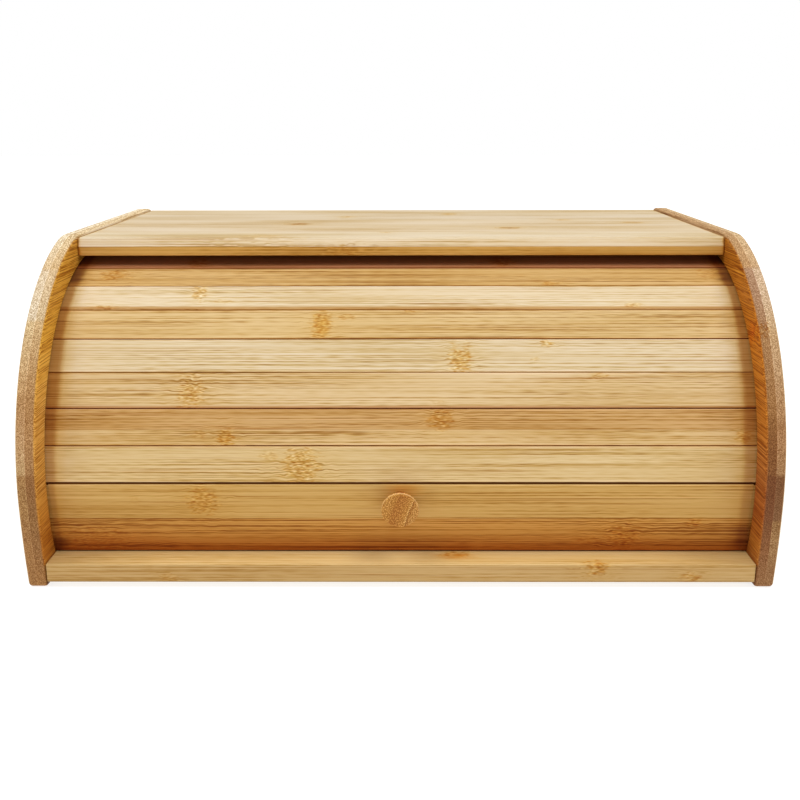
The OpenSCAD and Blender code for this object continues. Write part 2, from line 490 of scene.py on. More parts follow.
    thin = fibre(170 * short, 0.58)
    mid = fibre(180 * short, 1.25, 0.0, 40)
    band = fibre(120, 4.2, 1.0, 90)
    broad = fibre(110, 22, 0.0, 150)
    grit = fibre(9, 0.60, 0.0, 210)
    strong = t.span(field(130, 9, 0.0, off=31.0), 0.36, 0.64, 0.60, 1.25)
    if heavy is not None:
        strong = t.times(strong, t.span(a, heavy[0] - 0.3, heavy[0] + 0.3, heavy[1], 1.0))
    quiet = None
    if calm is not None:
        quiet = t.m("MULTIPLY_ADD", beyond, calm[1] - calm[0], calm[0])
        strong = t.times(strong, quiet)
    crisp = t.span(thin, 0.32, 0.68)
    value = t.plus(t.times(t.times(t.m("SUBTRACT", crisp, 0.5), strong), 0.44 * contrast),
                   t.times(t.times(t.m("SUBTRACT", mid, 0.5), strong), 0.29 * contrast * coarse),
                   t.times(t.times(t.m("SUBTRACT", grit, 0.5), strong), 0.55 * contrast),
                   t.times(t.m("SUBTRACT", band, 0.5), 0.30 * contrast * cloud),
                   t.times(t.m("SUBTRACT", broad, 0.5), 0.45 * contrast * cloud), 0.5)
    shade = t.ramp(value, [(0.0, (0.55, 0.40, 0.20)), (0.25, (0.79, 0.68, 0.43)), (0.44, (0.975, 0.945, 0.86)), (0.58, (1.03, 1.05, 1.09)),
                           (0.80, (1.09, 1.14, 1.27)), (1.0, (1.13, 1.20, 1.42))])
    colour = t.mix(1.0, base, shade, "MULTIPLY")

    # long thin lines: contours of a slow noise, some dark, some light
    def lines_of(length, width, off, half):
        return t.span(t.m("ABSOLUTE", t.m("SUBTRACT", fibre(length, width, 0.0, off), 0.5)), 0.0, half, 1.0, 0.0)

    run = (500 if short >= 1 else 320) * short
    dark = t.times(lines_of(run, 2.2, 7, 0.040), t.span(field(110, 2.8, 0.0, off=47.0), 0.40, 0.58))
    colour = t.mix(t.times(t.times(dark, strong), 0.72 * fleck), colour, t.mix(1.0, colour, (0.70, 0.54, 0.34), "MULTIPLY"))
    pale = t.times(lines_of(run, 2.6, 63, 0.045), t.span(field(110, 2.8, 0.0, off=83.0), 0.42, 0.58))
    if quiet is not None:
        pale = t.times(pale, quiet)
    colour = t.mix(t.times(pale, 0.55 * fleck), colour, t.mix(1.0, colour, bright, "MULTIPLY"))

    # tinted areas: (g, a, half length, half width, colour factor); some are the bamboo's own tints round knots, others
    # painted shade or painted light, as noted where they are given
    for g0, a0, w, h, factor in stains_and_painted_light:
        dg = t.m("MULTIPLY", t.m("SUBTRACT", g, g0), 1 / w)
        da = t.m("MULTIPLY", t.m("SUBTRACT", a, a0), 1 / h)
        q = t.m("SQRT", t.plus(t.times(dg, dg), t.times(da, da)))
        q = t.plus(q, t.times(t.m("SUBTRACT", band, 0.5), 1.2))
        colour = t.mix(t.span(q, 0.2, 1.2, 1.0, 0.0), colour, t.mix(1.0, colour, factor, "MULTIPLY"))

    front = t.span(t.m("ABSOLUTE", d), 3.2, 1.8) if lips is not None else None

    def by_front(amount):
        return amount if front is None else t.times(amount, front)

    if fade:
        a0, a1, factor = fade
        colour = t.mix(by_front(t.span(a, a0, a1)), colour, t.mix(1.0, colour, factor, "MULTIPLY"))
    # painted shade along the lowest arris
    if sole:
        d0, d1, factor = sole
        colour = t.mix(t.span(d, d0, d1), colour, t.mix(1.0, colour, factor, "MULTIPLY"))

    # glue lines
    def glue(places, along, width=0.28, amount=0.32):
        out = None
        for line in places:
            s = t.span(t.m("ABSOLUTE", t.m("SUBTRACT", along, line)), 0.05, width, amount, 0.0)
            out = s if out is None else t.m("MAXIMUM", out, s)
        return out

    lines, joint = glue(strips, a), None
    if ply is not None:
        if lines is not None:
            lines = t.times(lines, t.m("SUBTRACT", 1.0, beyond))
        other = glue(ply_strips, a)
        if other is not None:
            other = t.times(other, beyond)
            lines = other if lines is None else t.m("MAXIMUM", lines, other)
        joint = glue([ply], d, 0.42, 1.0)

    # narrow faces and end grain
    along = t.m("ABSOLUTE", t.dot(normal, grain))
    end = t.span(along, 0.25, 0.75)
    dots = t.cells(t.xyz(t.m("MULTIPLY", gs, 1 / 9), t.m("MULTIPLY", a, 1 / 0.68), t.m("MULTIPLY", d, 1 / 0.68)))
    dot = t.span(dots, 0.12, 0.50, 1.0, 0.0)
    pore, depth_of = (0.36, 1.9) if edge is None else (0.45, 2.5)
    fine = t.noise(t.xyz(t.m("MULTIPLY", gs, 1 / 2.5), t.m("MULTIPLY", a, 1 / pore), t.m("MULTIPLY", d, 1 / pore)), 0.0)
    clump = t.noise(t.xyz(t.m("MULTIPLY", gs, 1 / 9), t.m("MULTIPLY", a, 1 / 2.4), t.m("MULTIPLY", d, 1 / 2.4)), 1.0)
    if edge is not None:
        side = t.span(t.m("ABSOLUTE", t.dot(normal, edge)), 0.45, 0.85, 1.0, 0.0)
        narrow = by_strip(edge_tone, lo, hi) if isinstance(edge_tone, list) else gained(edge_tone)
        if edge_outer is not None:
            outer = by_strip(edge_outer, lo, hi) if isinstance(edge_outer, list) else gained(edge_outer)
            narrow = t.mix(beyond, narrow, outer)
        grainy = t.ramp(t.plus(t.times(t.m("SUBTRACT", thin, 0.5), 0.6), t.times(t.m("SUBTRACT", mid, 0.5), 0.5), t.times(t.m("SUBTRACT", clump, 0.5), 0.35), 0.5),
                        [(0.0, (0.74, 0.64, 0.52)), (0.5, (1.0, 1.0, 1.0)), (1.0, (1.2, 1.26, 1.34))])
        colour = t.mix(side, colour, t.mix(1.0, narrow, grainy, "MULTIPLY"))
        if joint is not None:
            colour = t.mix(t.times(joint, t.times(side, 0.65)), colour, t.mix(1.0, colour, (1.32, 1.42, 1.62), "MULTIPLY"))
        end = t.m("MAXIMUM", t.times(end, side), t.times(side, 0.86))
    # pores and fibre bundles cut across: small light specks between darker ones
    speck = t.plus(t.times(dot, 0.55), t.times(t.m("SUBTRACT", fine, 0.5), depth_of), t.times(t.m("SUBTRACT", clump, 0.5), 0.1), 0.36)
    speckle = t.ramp(speck, [(0.0, (0.58, 0.47, 0.36)), (0.40, (0.92, 0.89, 0.85)), (0.62, (1.12, 1.15, 1.20)), (1.0, (1.40, 1.54, 1.80))])
    colour = t.mix(t.times(end, 0.9), colour, t.mix(1.0, colour, speckle, "MULTIPLY"))
    if lines is not None:
        colour = t.mix(lines, colour, t.mix(1.0, colour, (0.55, 0.40, 0.26), "MULTIPLY"))
    if joint is not None and edge is None:
        colour = t.mix(t.times(joint, 0.3), colour, t.mix(1.0, colour, (0.55, 0.40, 0.26), "MULTIPLY"))

    thread = None
    if knots:
        # short light and dark dashes where the fibres cross a knot, on a warmer ground
        wrinkle = field(2.4, 0.54, 0.0, 0.5, 4.0, 0.35)
        blotch = field(3.4, 1.9, 0.0, 0.5, 13.0)
        thread = t.span(wrinkle, 0.46, 0.34, 0.0, 1.0)
        shine = t.span(wrinkle, 0.56, 0.66, 0.0, 1.0)
        dashes = t.ramp(wrinkle, [(0.28, (0.70, 0.51, 0.25)), (0.40, (0.88, 0.72, 0.42)), (0.50, (0.99, 0.92, 0.70)), (0.60, (1.08, 1.12, 1.08)), (0.72, (1.17, 1.29, 1.52))])
        warm = t.ramp(blotch, [(0.30, (1.06, 1.07, 1.08)), (0.45, (0.99, 0.93, 0.74)), (0.58, (0.90, 0.70, 0.34)), (0.72, (0.82, 0.57, 0.24))])
        colour = t.mix(t.times(flare, 0.30), colour, t.mix(1.0, colour, (0.95, 0.86, 0.60), "MULTIPLY"))
        colour = t.mix(t.times(patch, warmth), colour, t.mix(1.0, colour, warm, "MULTIPLY"))
        colour = t.mix(t.times(patch, 0.95), colour, t.mix(1.0, colour, dashes, "MULTIPLY"))

    if lips is not None:
        # arrises: a painted highlight line inside each, painted shade right at the joint, and, where under is given, a
        # wider painted shade along the lower edge
        first, last = lips
        highlight_line = t.m("MAXIMUM", t.span(t.m("ABSOLUTE", t.m("SUBTRACT", a, last - 0.85)), 0.15, 0.55, 1.0, 0.0), t.span(t.m("ABSOLUTE", t.m("SUBTRACT", a, first + 0.85)), 0.15, 0.55, 0.8, 0.0))
        colour = t.mix(t.times(highlight_line, t.span(field(30, 40, 1.0, off=5.0), 0.35, 0.65, 0.35, 1.0)), colour, t.mix(1.0, colour, arris_highlight, "MULTIPLY"))
        if under is not None:
            width, factor = under
            colour = t.mix(t.span(a, first + width, first + width * 0.6), colour, t.mix(1.0, colour, factor, "MULTIPLY"))
        # painted shade on the narrow flanks that face the next piece, near the front
        flank = by_front(t.span(t.m("ABSOLUTE", t.dot(normal, across)), 0.62, 0.95))
        colour = t.mix(flank, colour, t.mix(1.0, colour, (0.95, 0.62, 0.34), "MULTIPLY"))
        colour = t.mix(by_front(t.span(a, first + 0.52, first + 0.22)), colour, t.mix(1.0, colour, joint_shade[0], "MULTIPLY"))
        colour = t.mix(by_front(t.span(a, last - 0.40, last - 0.15)), colour, t.mix(1.0, colour, joint_shade[1], "MULTIPLY"))
    if ends is not None:
        # painted shade: darker towards both side boards, standing in for the shadows they cast and the shade in the
        # gaps beside them
        out, uneven = t.m("ABSOLUTE", g), t.times(t.m("SUBTRACT", field(9, 3.5, 1.0, off=77.0), 0.5), 1.6)
        left, right, amount = ends
        away = t.m("SUBTRACT", INNER, t.plus(out, uneven))
        reach = t.span(g, -1.0, 1.0, left, right)
        stops = [(0.0, (0.55, 0.34, 0.135)), (0.28, (0.58, 0.37, 0.16)), (0.37, (0.67, 0.47, 0.235)), (0.46, (0.87, 0.75, 0.49)), (0.56, (0.98, 0.93, 0.76)), (0.74, (1.0, 0.97, 0.87)), (1.0, (1.0, 1.0, 1.0))]
        colour = t.mix(amount, colour, t.mix(1.0, colour, t.ramp(t.m("DIVIDE", away, reach, clamp=True), stops), "MULTIPLY"))

    rough = t.plus(t.times(mid, 0.12), t.times(end, 0.12), 0.50)
    height = t.plus(t.times(thin, 0.45), t.times(dark, -0.5), t.times(t.times(end, dot), 0.6))
    if knots:
        height = t.plus(height, t.times(patch, t.times(thread, -1.6)), t.times(patch, t.times(shine, 0.8)))
    return t.surface(colour, rough, height, 0.05, 0.6, **{"Specular IOR Level": 0.18})


def canvas_material():
    t = Net("canvas_cloth")
    pos = t.add("ShaderNodeTexCoord")
    p = pos.outputs["Object"]
    # warp runs along X, weft follows the shutter round its axis
    local = t.away(p, (0, AXIS_Y * MM, AXIS_Z * MM))
    x = t.dot(local, (1000, 0, 0))
    y, z = t.dot(local, (0, 1000, 0)), t.dot(local, (0, 0, 1000))
    round_ = t.times(t.m("ARCTAN2", z, y), 112.0)
    wave = t.noise(t.xyz(t.times(x, 0.02), t.times(round_, 0.02), 0.0), 1.0)
    u = t.plus(t.times(x, 1 / 0.85), t.times(wave, 2.2))
    v = t.plus(t.times(round_, 1 / 0.85), t.times(wave, -1.7))
    su, sv = t.m("SINE", t.times(u, 2 * math.pi)), t.m("SINE", t.times(v, 2 * math.pi))
    cu, cv = t.m("SINE", t.times(u, math.pi)), t.m("SINE", t.times(v, math.pi))
    over = t.m("GREATER_THAN", t.times(cu, cv), 0.0)
    warp = t.m("ABSOLUTE", cv)
    weft = t.m("ABSOLUTE", cu)
    height = t.plus(t.times(over, warp), t.times(t.m("SUBTRACT", 1.0, over), weft))
    slub = t.noise(t.xyz(t.times(x, 0.08), t.times(round_, 1.1), 0.0), 2.0)
    slub2 = t.noise(t.xyz(t.times(x, 1.1), t.times(round_, 0.08), 4.0), 2.0)
    # the low places of the weave are darker as painted shade; the slubs are the yarn's own tone
    value = t.plus(t.times(height, 0.55), t.times(slub, 0.35), t.times(slub2, 0.35), -0.15)
    colour = t.ramp(value, [(0.0, (0.28, 0.20, 0.11)), (0.5, (0.58, 0.46, 0.30)), (1.0, (0.76, 0.66, 0.48))])
    return t.surface(colour, t.plus(t.times(slub, 0.1), 0.82), height, 0.16, 0.8, **{"Specular IOR Level": 0.15, "Sheen Weight": 0.15})


def steel_material(name, centre, axis, ring=False):
    t = Net(name)
    pos = t.add("ShaderNodeTexCoord")
    local = t.away(pos.outputs["Object"], scaled(centre, MM))
    axis = tuple(Vector(axis).normalized())
    side = tuple(Vector(axis).orthogonal().normalized())
    other = cross(axis, side)
    h, u, v = (t.dot(local, scaled(k, 1000)) for k in (axis, side, other))
    r = t.m("SQRT", t.plus(t.times(u, u), t.times(v, v)))
    turned = t.noise(t.xyz(t.times(r, 9.0), t.times(h, 9.0), 0.0), 2.0)
    cloudy = t.noise(t.xyz(t.times(u, 0.5), t.times(v, 0.5), t.times(h, 0.5)), 2.0)
    colour = t.ramp(t.plus(t.times(turned, 0.6), t.times(cloudy, 0.4)),
                    [(0.25, (0.42, 0.42, 0.41)), (0.6, (0.58, 0.585, 0.59)), (0.8, (0.68, 0.68, 0.68))])
    return t.surface(colour, t.plus(t.times(cloudy, 0.25), 0.22), turned, 0.01, 0.5, **{"Metallic": 1.0})


def dowel_material():
    t = Net("dowel_birch")
    pos = t.add("ShaderNodeTexCoord")
    p = pos.outputs["Object"]
    x, y, z = (t.dot(p, v) for v in ((1000, 0, 0), (0, 1000, 0), (0, 0, 1000)))
    grain = t.noise(t.xyz(t.times(x, 1 / 14), t.times(y, 2.2), t.times(z, 2.2)), 2.0)
    pores = t.span(t.noise(t.xyz(t.times(x, 1 / 3), t.times(y, 4.5), t.times(z, 4.5)), 0.0), 0.62, 0.75)
    colour = t.ramp(grain, [(0.25, (0.50, 0.34, 0.18)), (0.5, (0.68, 0.51, 0.31)), (0.8, (0.78, 0.63, 0.43))])
    colour = t.mix(t.times(pores, 0.5), colour, (0.36, 0.22, 0.11))
    return t.surface(colour, t.plus(t.times(grain, 0.15), 0.5), grain, 0.06, 0.6)


X, Y, Z = (1, 0, 0), (0, 1, 0), (0, 0, 1)

# how much lighter or darker each board is than its first tone
GAIN = {
    "s1": (0.99, 0.98, 0.94), "s2": (0.895, 0.885, 0.855), "s3": (0.90, 0.91, 0.90), "s4": (0.86, 0.865, 0.88), "s5": (0.84, 0.825, 0.79), "s6": (0.85, 0.845, 0.86), "s7": (0.77, 0.75, 0.66),
    # s8 lies under the top board's edge; its low gain is the painted shadow of the top board
    "s8": (0.5, 0.30, 0.29), "s9": (1.0, 1.0, 1.0), "rail": (0.95, 0.93, 0.86), "top": (0.872, 0.892, 0.918), "base": (0.98, 1.05, 1.10), "left": (1.0, 1.0, 1.0), "right": (1.0, 1.0, 1.0),
    "back": (1.0, 1.0, 1.0), "knob": (1.05, 0.92, 0.57),
}


def dress(ob, material, slot_name, body, *nodes):
    ob.data.materials.clear()
    ob.data.materials.append(material)
    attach(ob, body)
    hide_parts(*nodes)
    return ob


# --------------------------------------------------------------------------
# side boards
# --------------------------------------------------------------------------
SIDE_R, CURVE_Z, SIDE_H, BACK = 134.3, 46.0, 177.0, 143.0


def side_profile():
    pts = []
    for z0, first in ((6.0, -90), (SIDE_H - 6.0, 0)):
        for k in range(9):
            a = math.radians(first + 90 * k / 8)
            pts.append((BACK - 6 + 6 * math.cos(a), z0 + 6 * math.sin(a)))
    # the top edge runs into the curve of the front through a short easing
    corner = math.pi - math.asin((SIDE_H - CURVE_Z) / SIDE_R)
    yc = AXIS_Y + SIDE_R * math.cos(corner)
    first = corner + 6.5 / SIDE_R
    p0, p1 = (yc + 6.5, SIDE_H), (yc, SIDE_H)
    p2 = (AXIS_Y + SIDE_R * math.cos(first), CURVE_Z + SIDE_R * math.sin(first))
    for k in range(8):
        f = k / 8
        pts.append(tuple((1 - f) ** 2 * p0[i] + 2 * f * (1 - f) * p1[i] + f * f * p2[i] for i in (0, 1)))
    for k in range(97):
        a = first + (math.pi - first) * k / 96
        pts.append((AXIS_Y + SIDE_R * math.cos(a), CURVE_Z + SIDE_R * math.sin(a)))
    # nearly straight lower front, with a rounded corner at the floor
    for k in range(1, 11):
        z = CURVE_Z * (1 - k / 10)
        pts.append((207.0 - math.sqrt(350.0 ** 2 - (CURVE_Z - z) ** 2), z))
    return clean(round_poly(pts, [0] * (len(pts) - 1) + [2.6], 6))


def groove_tool(sign):
    """The ring groove, with a small chamfer at its mouth."""
    mouth = INNER * sign
    r_in, r_out, deep = 111.75, 118.9, 5.0
    section = [(r_in - 0.45, -1.0), (r_in - 0.45, 0.0), (r_in, 0.45), (r_in, deep), (r_out, deep), (r_out, 0.45), (r_out + 0.45, 0.0), (r_out + 0.45, -1.0)]
    bm = bmesh.new()
    rings = []
    n = 132
    for k in range(n + 1):
        ring = []
        for r, x in section:
            end = math.degrees(math.asin((AXIS_Z - BASE_TOP) / r)) + 180
            a = math.radians(18 + (end - 18) * k / n)
            ring.append(bm.verts.new(((mouth + sign * x) * MM, (AXIS_Y + r * math.cos(a)) * MM, (AXIS_Z + r * math.sin(a)) * MM)))
        rings.append(ring)
    m = len(section)
    for a, b in zip(rings, rings[1:]):
        for i in range(m):
            j = (i + 1) % m
            bm.faces.new((a[i], a[j], b[j], b[i]))
    bm.faces.new(rings[0])
    bm.faces.new(rings[-1][::-1])
    return from_bmesh("groove", bm)


def side_board(name, sign):
    x_in, x_out = INNER * sign, HALF_W * sign
    ob = prism(name, side_profile(), min(x_in, x_out), max(x_in, x_out), 2.0, 2.0, 5)
    tools = [groove_tool(sign)]
    lo, hi = sorted((x_in - sign * 1.0, x_in + sign * 3.0))
    tools.append(plain_prism([(BACK_Y0, BASE_TOP), (BACK_Y1, BASE_TOP), (BACK_Y1, TOP_UNDER), (BACK_Y0, TOP_UNDER)], lo, hi))
    for ys, z in ((BASE_DOWELS, BASE_TOP - 5.25), (TOP_DOWELS, TOP_UNDER + 5.25)):
        for y in ys:
            lo, hi = sorted((x_in - sign * 1.0, x_in + sign * 8.5))
            tools.append(cylinder_x(y, z, 3.05, lo, hi))
    combine(ob, join("tools", tools), "DIFFERENCE")
    return smooth(ob)


# end grain tones up the front curve, (height, colour)
left_edge = [(0, (0.47, 0.235, 0.085)), (24, (0.46, 0.225, 0.083)), (42, (0.455, 0.22, 0.081)), (56, (0.45, 0.215, 0.080)), (63.5, (0.45, 0.215, 0.080)), (64.8, (0.54, 0.29, 0.12)), (81, (0.565, 0.31, 0.13)), (93, (0.58, 0.325, 0.14)), (108, (0.60, 0.34, 0.15)),
             (138.6, (0.74, 0.49, 0.24)), (139.4, (0.80, 0.60, 0.36)), (161.5, (0.80, 0.60, 0.37)), (162.3, (0.76, 0.53, 0.28)), (177, (0.80, 0.60, 0.36))]
left_outer = [(0, (0.45, 0.225, 0.085)), (27.6, (0.46, 0.23, 0.085)), (28.4, (0.40, 0.19, 0.07)), (42, (0.41, 0.195, 0.072)), (56, (0.415, 0.198, 0.074)), (63.5, (0.42, 0.20, 0.075)), (64.8, (0.57, 0.31, 0.13)), (81, (0.565, 0.315, 0.135)), (93, (0.56, 0.32, 0.14)), (104, (0.56, 0.32, 0.14)), (105, (0.62, 0.37, 0.17)),
              (138.4, (0.72, 0.48, 0.23)), (139.6, (0.83, 0.64, 0.42)), (161.4, (0.82, 0.62, 0.38)), (162.4, (0.78, 0.54, 0.28)), (177, (0.82, 0.62, 0.38))]
right_edge = [(0, (0.40, 0.19, 0.08)), (22, (0.36, 0.16, 0.065)), (39.0, (0.30, 0.125, 0.05)), (40.0, (0.30, 0.12, 0.05)), (56, (0.30, 0.128, 0.053)), (63.6, (0.30, 0.13, 0.055)), (64.6, (0.42, 0.21, 0.09)), (81, (0.44, 0.222, 0.095)), (93, (0.45, 0.23, 0.098)),
              (100, (0.46, 0.235, 0.10)), (134.5, (0.55, 0.32, 0.15)), (135.5, (0.52, 0.31, 0.17)), (161.8, (0.53, 0.32, 0.19)), (163.2, (0.62, 0.37, 0.17)), (177, (0.62, 0.37, 0.18))]
right_outer = [(0, (0.40, 0.19, 0.08)), (10, (0.39, 0.185, 0.078)), (24, (0.375, 0.178, 0.074)), (39.0, (0.36, 0.17, 0.07)), (40.0, (0.26, 0.11, 0.05)), (63.6, (0.28, 0.12, 0.05)), (64.6, (0.46, 0.25, 0.12)), (81, (0.455, 0.245, 0.115)), (90.4, (0.45, 0.24, 0.11)), (91.4, (0.52, 0.30, 0.15)),
               (134.5, (0.60, 0.38, 0.20)), (135.5, (0.64, 0.43, 0.25)), (161.8, (0.66, 0.45, 0.26)), (163.2, (0.62, 0.38, 0.18)), (177, (0.64, 0.40, 0.19))]

band_left = (0.58, 0.29, 0.055)
band_right = (0.50, 0.19, 0.032)
face_left = [(0, (0.62, 0.40, 0.16)), (27.6, (0.62, 0.40, 0.16)), (28.4, (0.68, 0.46, 0.20)), (64.2, (0.66, 0.44, 0.19)), (65.0, (0.72, 0.51, 0.25)), (104.4, (0.71, 0.50, 0.24)), (105.2, (0.67, 0.45, 0.20)),
             (138.8, (0.68, 0.46, 0.21)), (139.6, (0.76, 0.57, 0.31)), (161.6, (0.74, 0.55, 0.29)), (162.4, (0.70, 0.49, 0.23)), (177, (0.70, 0.49, 0.23))]
face_right = [(0, (0.60, 0.38, 0.16)), (39.2, (0.61, 0.39, 0.16)), (40.0, (0.66, 0.44, 0.20)), (63.8, (0.66, 0.44, 0.20)), (64.6, (0.60, 0.38, 0.16)), (90.6, (0.61, 0.39, 0.17)), (91.4, (0.70, 0.49, 0.24)),
              (134.6, (0.69, 0.48, 0.23)), (135.4, (0.64, 0.43, 0.19)), (162.0, (0.65, 0.43, 0.19)), (163.0, (0.71, 0.50, 0.25)), (177, (0.71, 0.50, 0.25))]
inner_left = [(0, scaled(band_left, 0.96)), (10, scaled(band_left, 0.96)), (24, scaled(band_left, 0.97)), (42, scaled(band_left, 0.98)), (57, scaled(band_left, 0.98)), (64.2, scaled(band_left, 0.98)), (65.0, band_left), (88, band_left), (128, scaled(band_left, 1.02)), (177, scaled(band_left, 1.04))]
inner_right = [(0, scaled(band_right, 0.85)), (10, scaled(band_right, 0.86)), (24, scaled(band_right, 0.87)), (42, scaled(band_right, 0.88)), (57, scaled(band_right, 0.9)), (64.2, scaled(band_right, 0.9)), (65.0, band_right), (88, band_right), (128, scaled(band_right, 1.04)), (177, scaled(band_right, 1.1))]



def tuned(tones, marks):
    """Tones multiplied by factors that are given at a few heights."""
    out = []
    for z, c in tones:
        z_ = min(max(z, marks[0][0]), marks[-1][0])
        for (z0, f0), (z1, f1) in zip(marks, marks[1:]):
            if z0 <= z_ <= z1:
                k = (z_ - z0) / (z1 - z0)
                out.append((z, tuple(c[i] * (f0[i] * (1 - k) + f1[i] * k) for i in range(3))))
                break
    return out


left_marks = [(10, (0.82, 0.79, 0.71)), (47, (0.88, 0.92, 0.85)), (93, (0.87, 0.85, 0.80)), (125, (0.94, 0.99, 1.03)), (148, (0.86, 0.86, 0.87)), (170, (0.95, 0.97, 0.95))]
right_marks = [(10, (0.85, 0.84, 0.76)), (47, (0.79, 0.74, 0.64)), (93, (0.79, 0.72, 0.60)), (125, (0.84, 0.83, 0.78)), (148, (0.82, 0.77, 0.74)), (170, (0.80, 0.80, 0.77))]
left_edge, left_outer = tuned(left_edge, left_marks), tuned(left_outer, left_marks)
right_edge, right_outer = tuned(right_edge, right_marks), tuned(right_outer, right_marks)
inner_left = tuned(inner_left + [], [(20, (1.02, 0.97, 0.90)), (57, (1.03, 0.98, 0.90)), (88, (1.21, 1.25, 1.15)), (128, (1.09, 1.10, 0.80)), (170, (1.05, 1.05, 0.75))])
inner_right = tuned(inner_right + [], [(20, (0.86, 0.73, 0.80)), (57, (0.86, 0.73, 0.80)), (88, (0.97, 0.88, 0.73)), (128, (1.09, 0.92, 0.57)), (170, (1.10, 0.92, 0.60))])

left_outer = tuned(left_outer, [(10, (1, 1, 1)), (24, (1.03, 1.0, 1.05)), (42, (1.20, 1.28, 1.30)), (56, (1.12, 1.20, 1.20)), (63.4, (1.12, 1.20, 1.20)), (65, (1.14, 1.32, 1.55)), (81, (1.10, 1.18, 1.35)), (104, (0.90, 0.85, 0.75)), (131, (0.96, 0.97, 0.90)), (158, (0.94, 0.90, 0.86))])
left_edge = tuned(left_edge, [(10, (1, 1, 1)), (24, (0.86, 0.83, 0.82)), (42, (0.82, 0.78, 0.72)), (56, (0.82, 0.76, 0.70)), (63.4, (0.82, 0.76, 0.70)), (65, (0.86, 0.80, 0.77)), (81, (0.92, 0.90, 0.88)), (104, (0.78, 0.72, 0.58)), (131, (0.86, 0.82, 0.70)), (158, (0.88, 0.78, 0.64))])
right_outer = tuned(right_outer, [(10, (1, 1, 1)), (24, (1.26, 1.45, 1.5)), (42, (1.20, 1.35, 1.30)), (56, (1.0, 1.0, 1.0)), (63.4, (1.0, 1.0, 1.0)), (65, (1.17, 1.22, 1.30)), (81, (1.22, 1.25, 1.40)), (104, (0.82, 0.72, 0.64)), (131, (1.08, 1.12, 1.12)), (158, (1.08, 1.10, 1.18))])
right_edge = tuned(right_edge, [(10, (1, 1, 1)), (24, (0.97, 0.87, 0.80)), (42, (0.93, 0.88, 0.83)), (56, (0.86, 0.74, 0.64)), (63.4, (0.86, 0.74, 0.64)), (65, (0.69, 0.55, 0.43)), (81, (0.70, 0.58, 0.47)), (104, (1.0, 1.0, 0.95)), (131, (0.83, 0.76, 0.68)), (158, (0.90, 0.83, 0.75))])
inner_left = tuned(inner_left, [(10, (0.86, 0.70, 0.50)), (24, (0.82, 0.62, 0.45)), (42, (0.97, 0.86, 0.78)), (56, (0.92, 0.87, 0.90)), (67, (1.03, 1.03, 1.05)), (158, (1.0, 1.0, 1.0))])
inner_right = tuned(inner_right, [(10, (1.05, 1.05, 0.65)), (24, (1.08, 1.08, 0.62)), (42, (0.95, 0.76, 0.48)), (56, (0.92, 0.80, 0.65)), (67, (0.87, 0.83, 0.75)), (81, (0.80, 0.70, 0.60)), (104, (0.85, 0.84, 0.68)), (131, (0.85, 0.80, 0.58)), (158, (0.80, 0.88, 0.88))])
left_outer = tuned(left_outer, [(10, (1.02, 1.0, 0.92)), (47, (0.97, 0.97, 0.95)), (93, (1.03, 1.01, 0.99)), (125, (1.13, 1.20, 1.35)), (148, (0.98, 1.01, 1.09)), (170, (1.05, 1.15, 1.32))])
left_edge = tuned(left_edge, [(10, (1.02, 1.0, 0.92)), (47, (0.97, 0.97, 0.95)), (93, (1.03, 1.01, 0.99)), (125, (1.13, 1.20, 1.35)), (148, (0.98, 1.01, 1.09)), (170, (1.05, 1.15, 1.32))])
right_outer = tuned(right_outer, [(10, (1, 1, 1)), (47, (1, 1, 1)), (93, (1.03, 1.05, 1.0)), (125, (1.02, 1.04, 1.04)), (148, (1.03, 1.01, 1.02)), (170, (1.06, 1.12, 1.15))])
right_edge = tuned(right_edge, [(10, (1, 1, 1)), (47, (1, 1, 1)), (93, (1.03, 1.05, 1.0)), (125, (1.02, 1.04, 1.04)), (148, (1.03, 1.01, 1.02)), (170, (1.06, 1.12, 1.15))])
inner_left = tuned(inner_left, [(20, (0.99, 0.98, 0.87)), (57, (1.03, 1.03, 0.91)), (88, (0.97, 0.96, 1.09)), (128, (1.09, 1.10, 0.90)), (170, (0.97, 0.93, 0.77))])
inner_right = tuned(inner_right, [(20, (0.99, 1.01, 1.14)), (57, (1.04, 1.05, 1.18)), (88, (1.26, 1.36, 1.36)), (128, (1.18, 1.20, 1.0)), (170, (1.07, 1.03, 0.79))])
inner_left = tuned(inner_left, [(20, (0.95, 0.93, 0.90)), (57, (0.96, 0.95, 0.93)), (88, (1, 1, 1))])
inner_left = tuned(inner_left, [(20, (1, 1, 0.94)), (57, (1, 1, 0.96)), (88, (1.035, 1.035, 1.035))])
inner_right = tuned(inner_right, [(57, (1, 1, 1)), (88, (1.055, 1.085, 1.11)), (128, (0.98, 1.03, 1.02)), (170, (0.94, 0.99, 0.95))])
left_marks = [(93, (1, 1, 1)), (125, (1.03, 1.045, 1.06)), (138.4, (1.02, 1.03, 1.04)), (139.4, (0.97, 0.955, 0.935)), (158, (0.97, 0.955, 0.935)), (170, (1.02, 1.035, 1.05))]
right_marks = [(10, (0.98, 1.0, 0.97)), (93, (0.99, 0.985, 0.95)), (125, (0.985, 1.0, 1.01)), (134.5, (0.985, 1.0, 1.01)), (148, (0.97, 0.945, 0.955)), (170, (1.02, 1.035, 1.045))]
left_edge, left_outer = tuned(left_edge, left_marks), tuned(left_outer, left_marks)
right_edge, right_outer = tuned(right_edge, right_marks), tuned(right_outer, right_marks)
# painted shade: below the base board's top, the inner faces of both side boards are much darker, in the gap beside the
# base board
for tones in (inner_left, inner_right):
    low = tones[1][1]
    tones[:2] = [(0, scaled(low, 0.42)), (12.6, scaled(low, 0.42)), (13.7, low)]
inner_left = inner_left[:-1] + [(174.6, inner_left[-1][1]), (175.4, (0.74, 0.55, 0.30)), (177, (0.74, 0.55, 0.30))]
inner_right = inner_right[:-1] + [(174.6, inner_right[-1][1]), (175.4, (0.44, 0.24, 0.095)), (177, (0.44, 0.24, 0.095))]

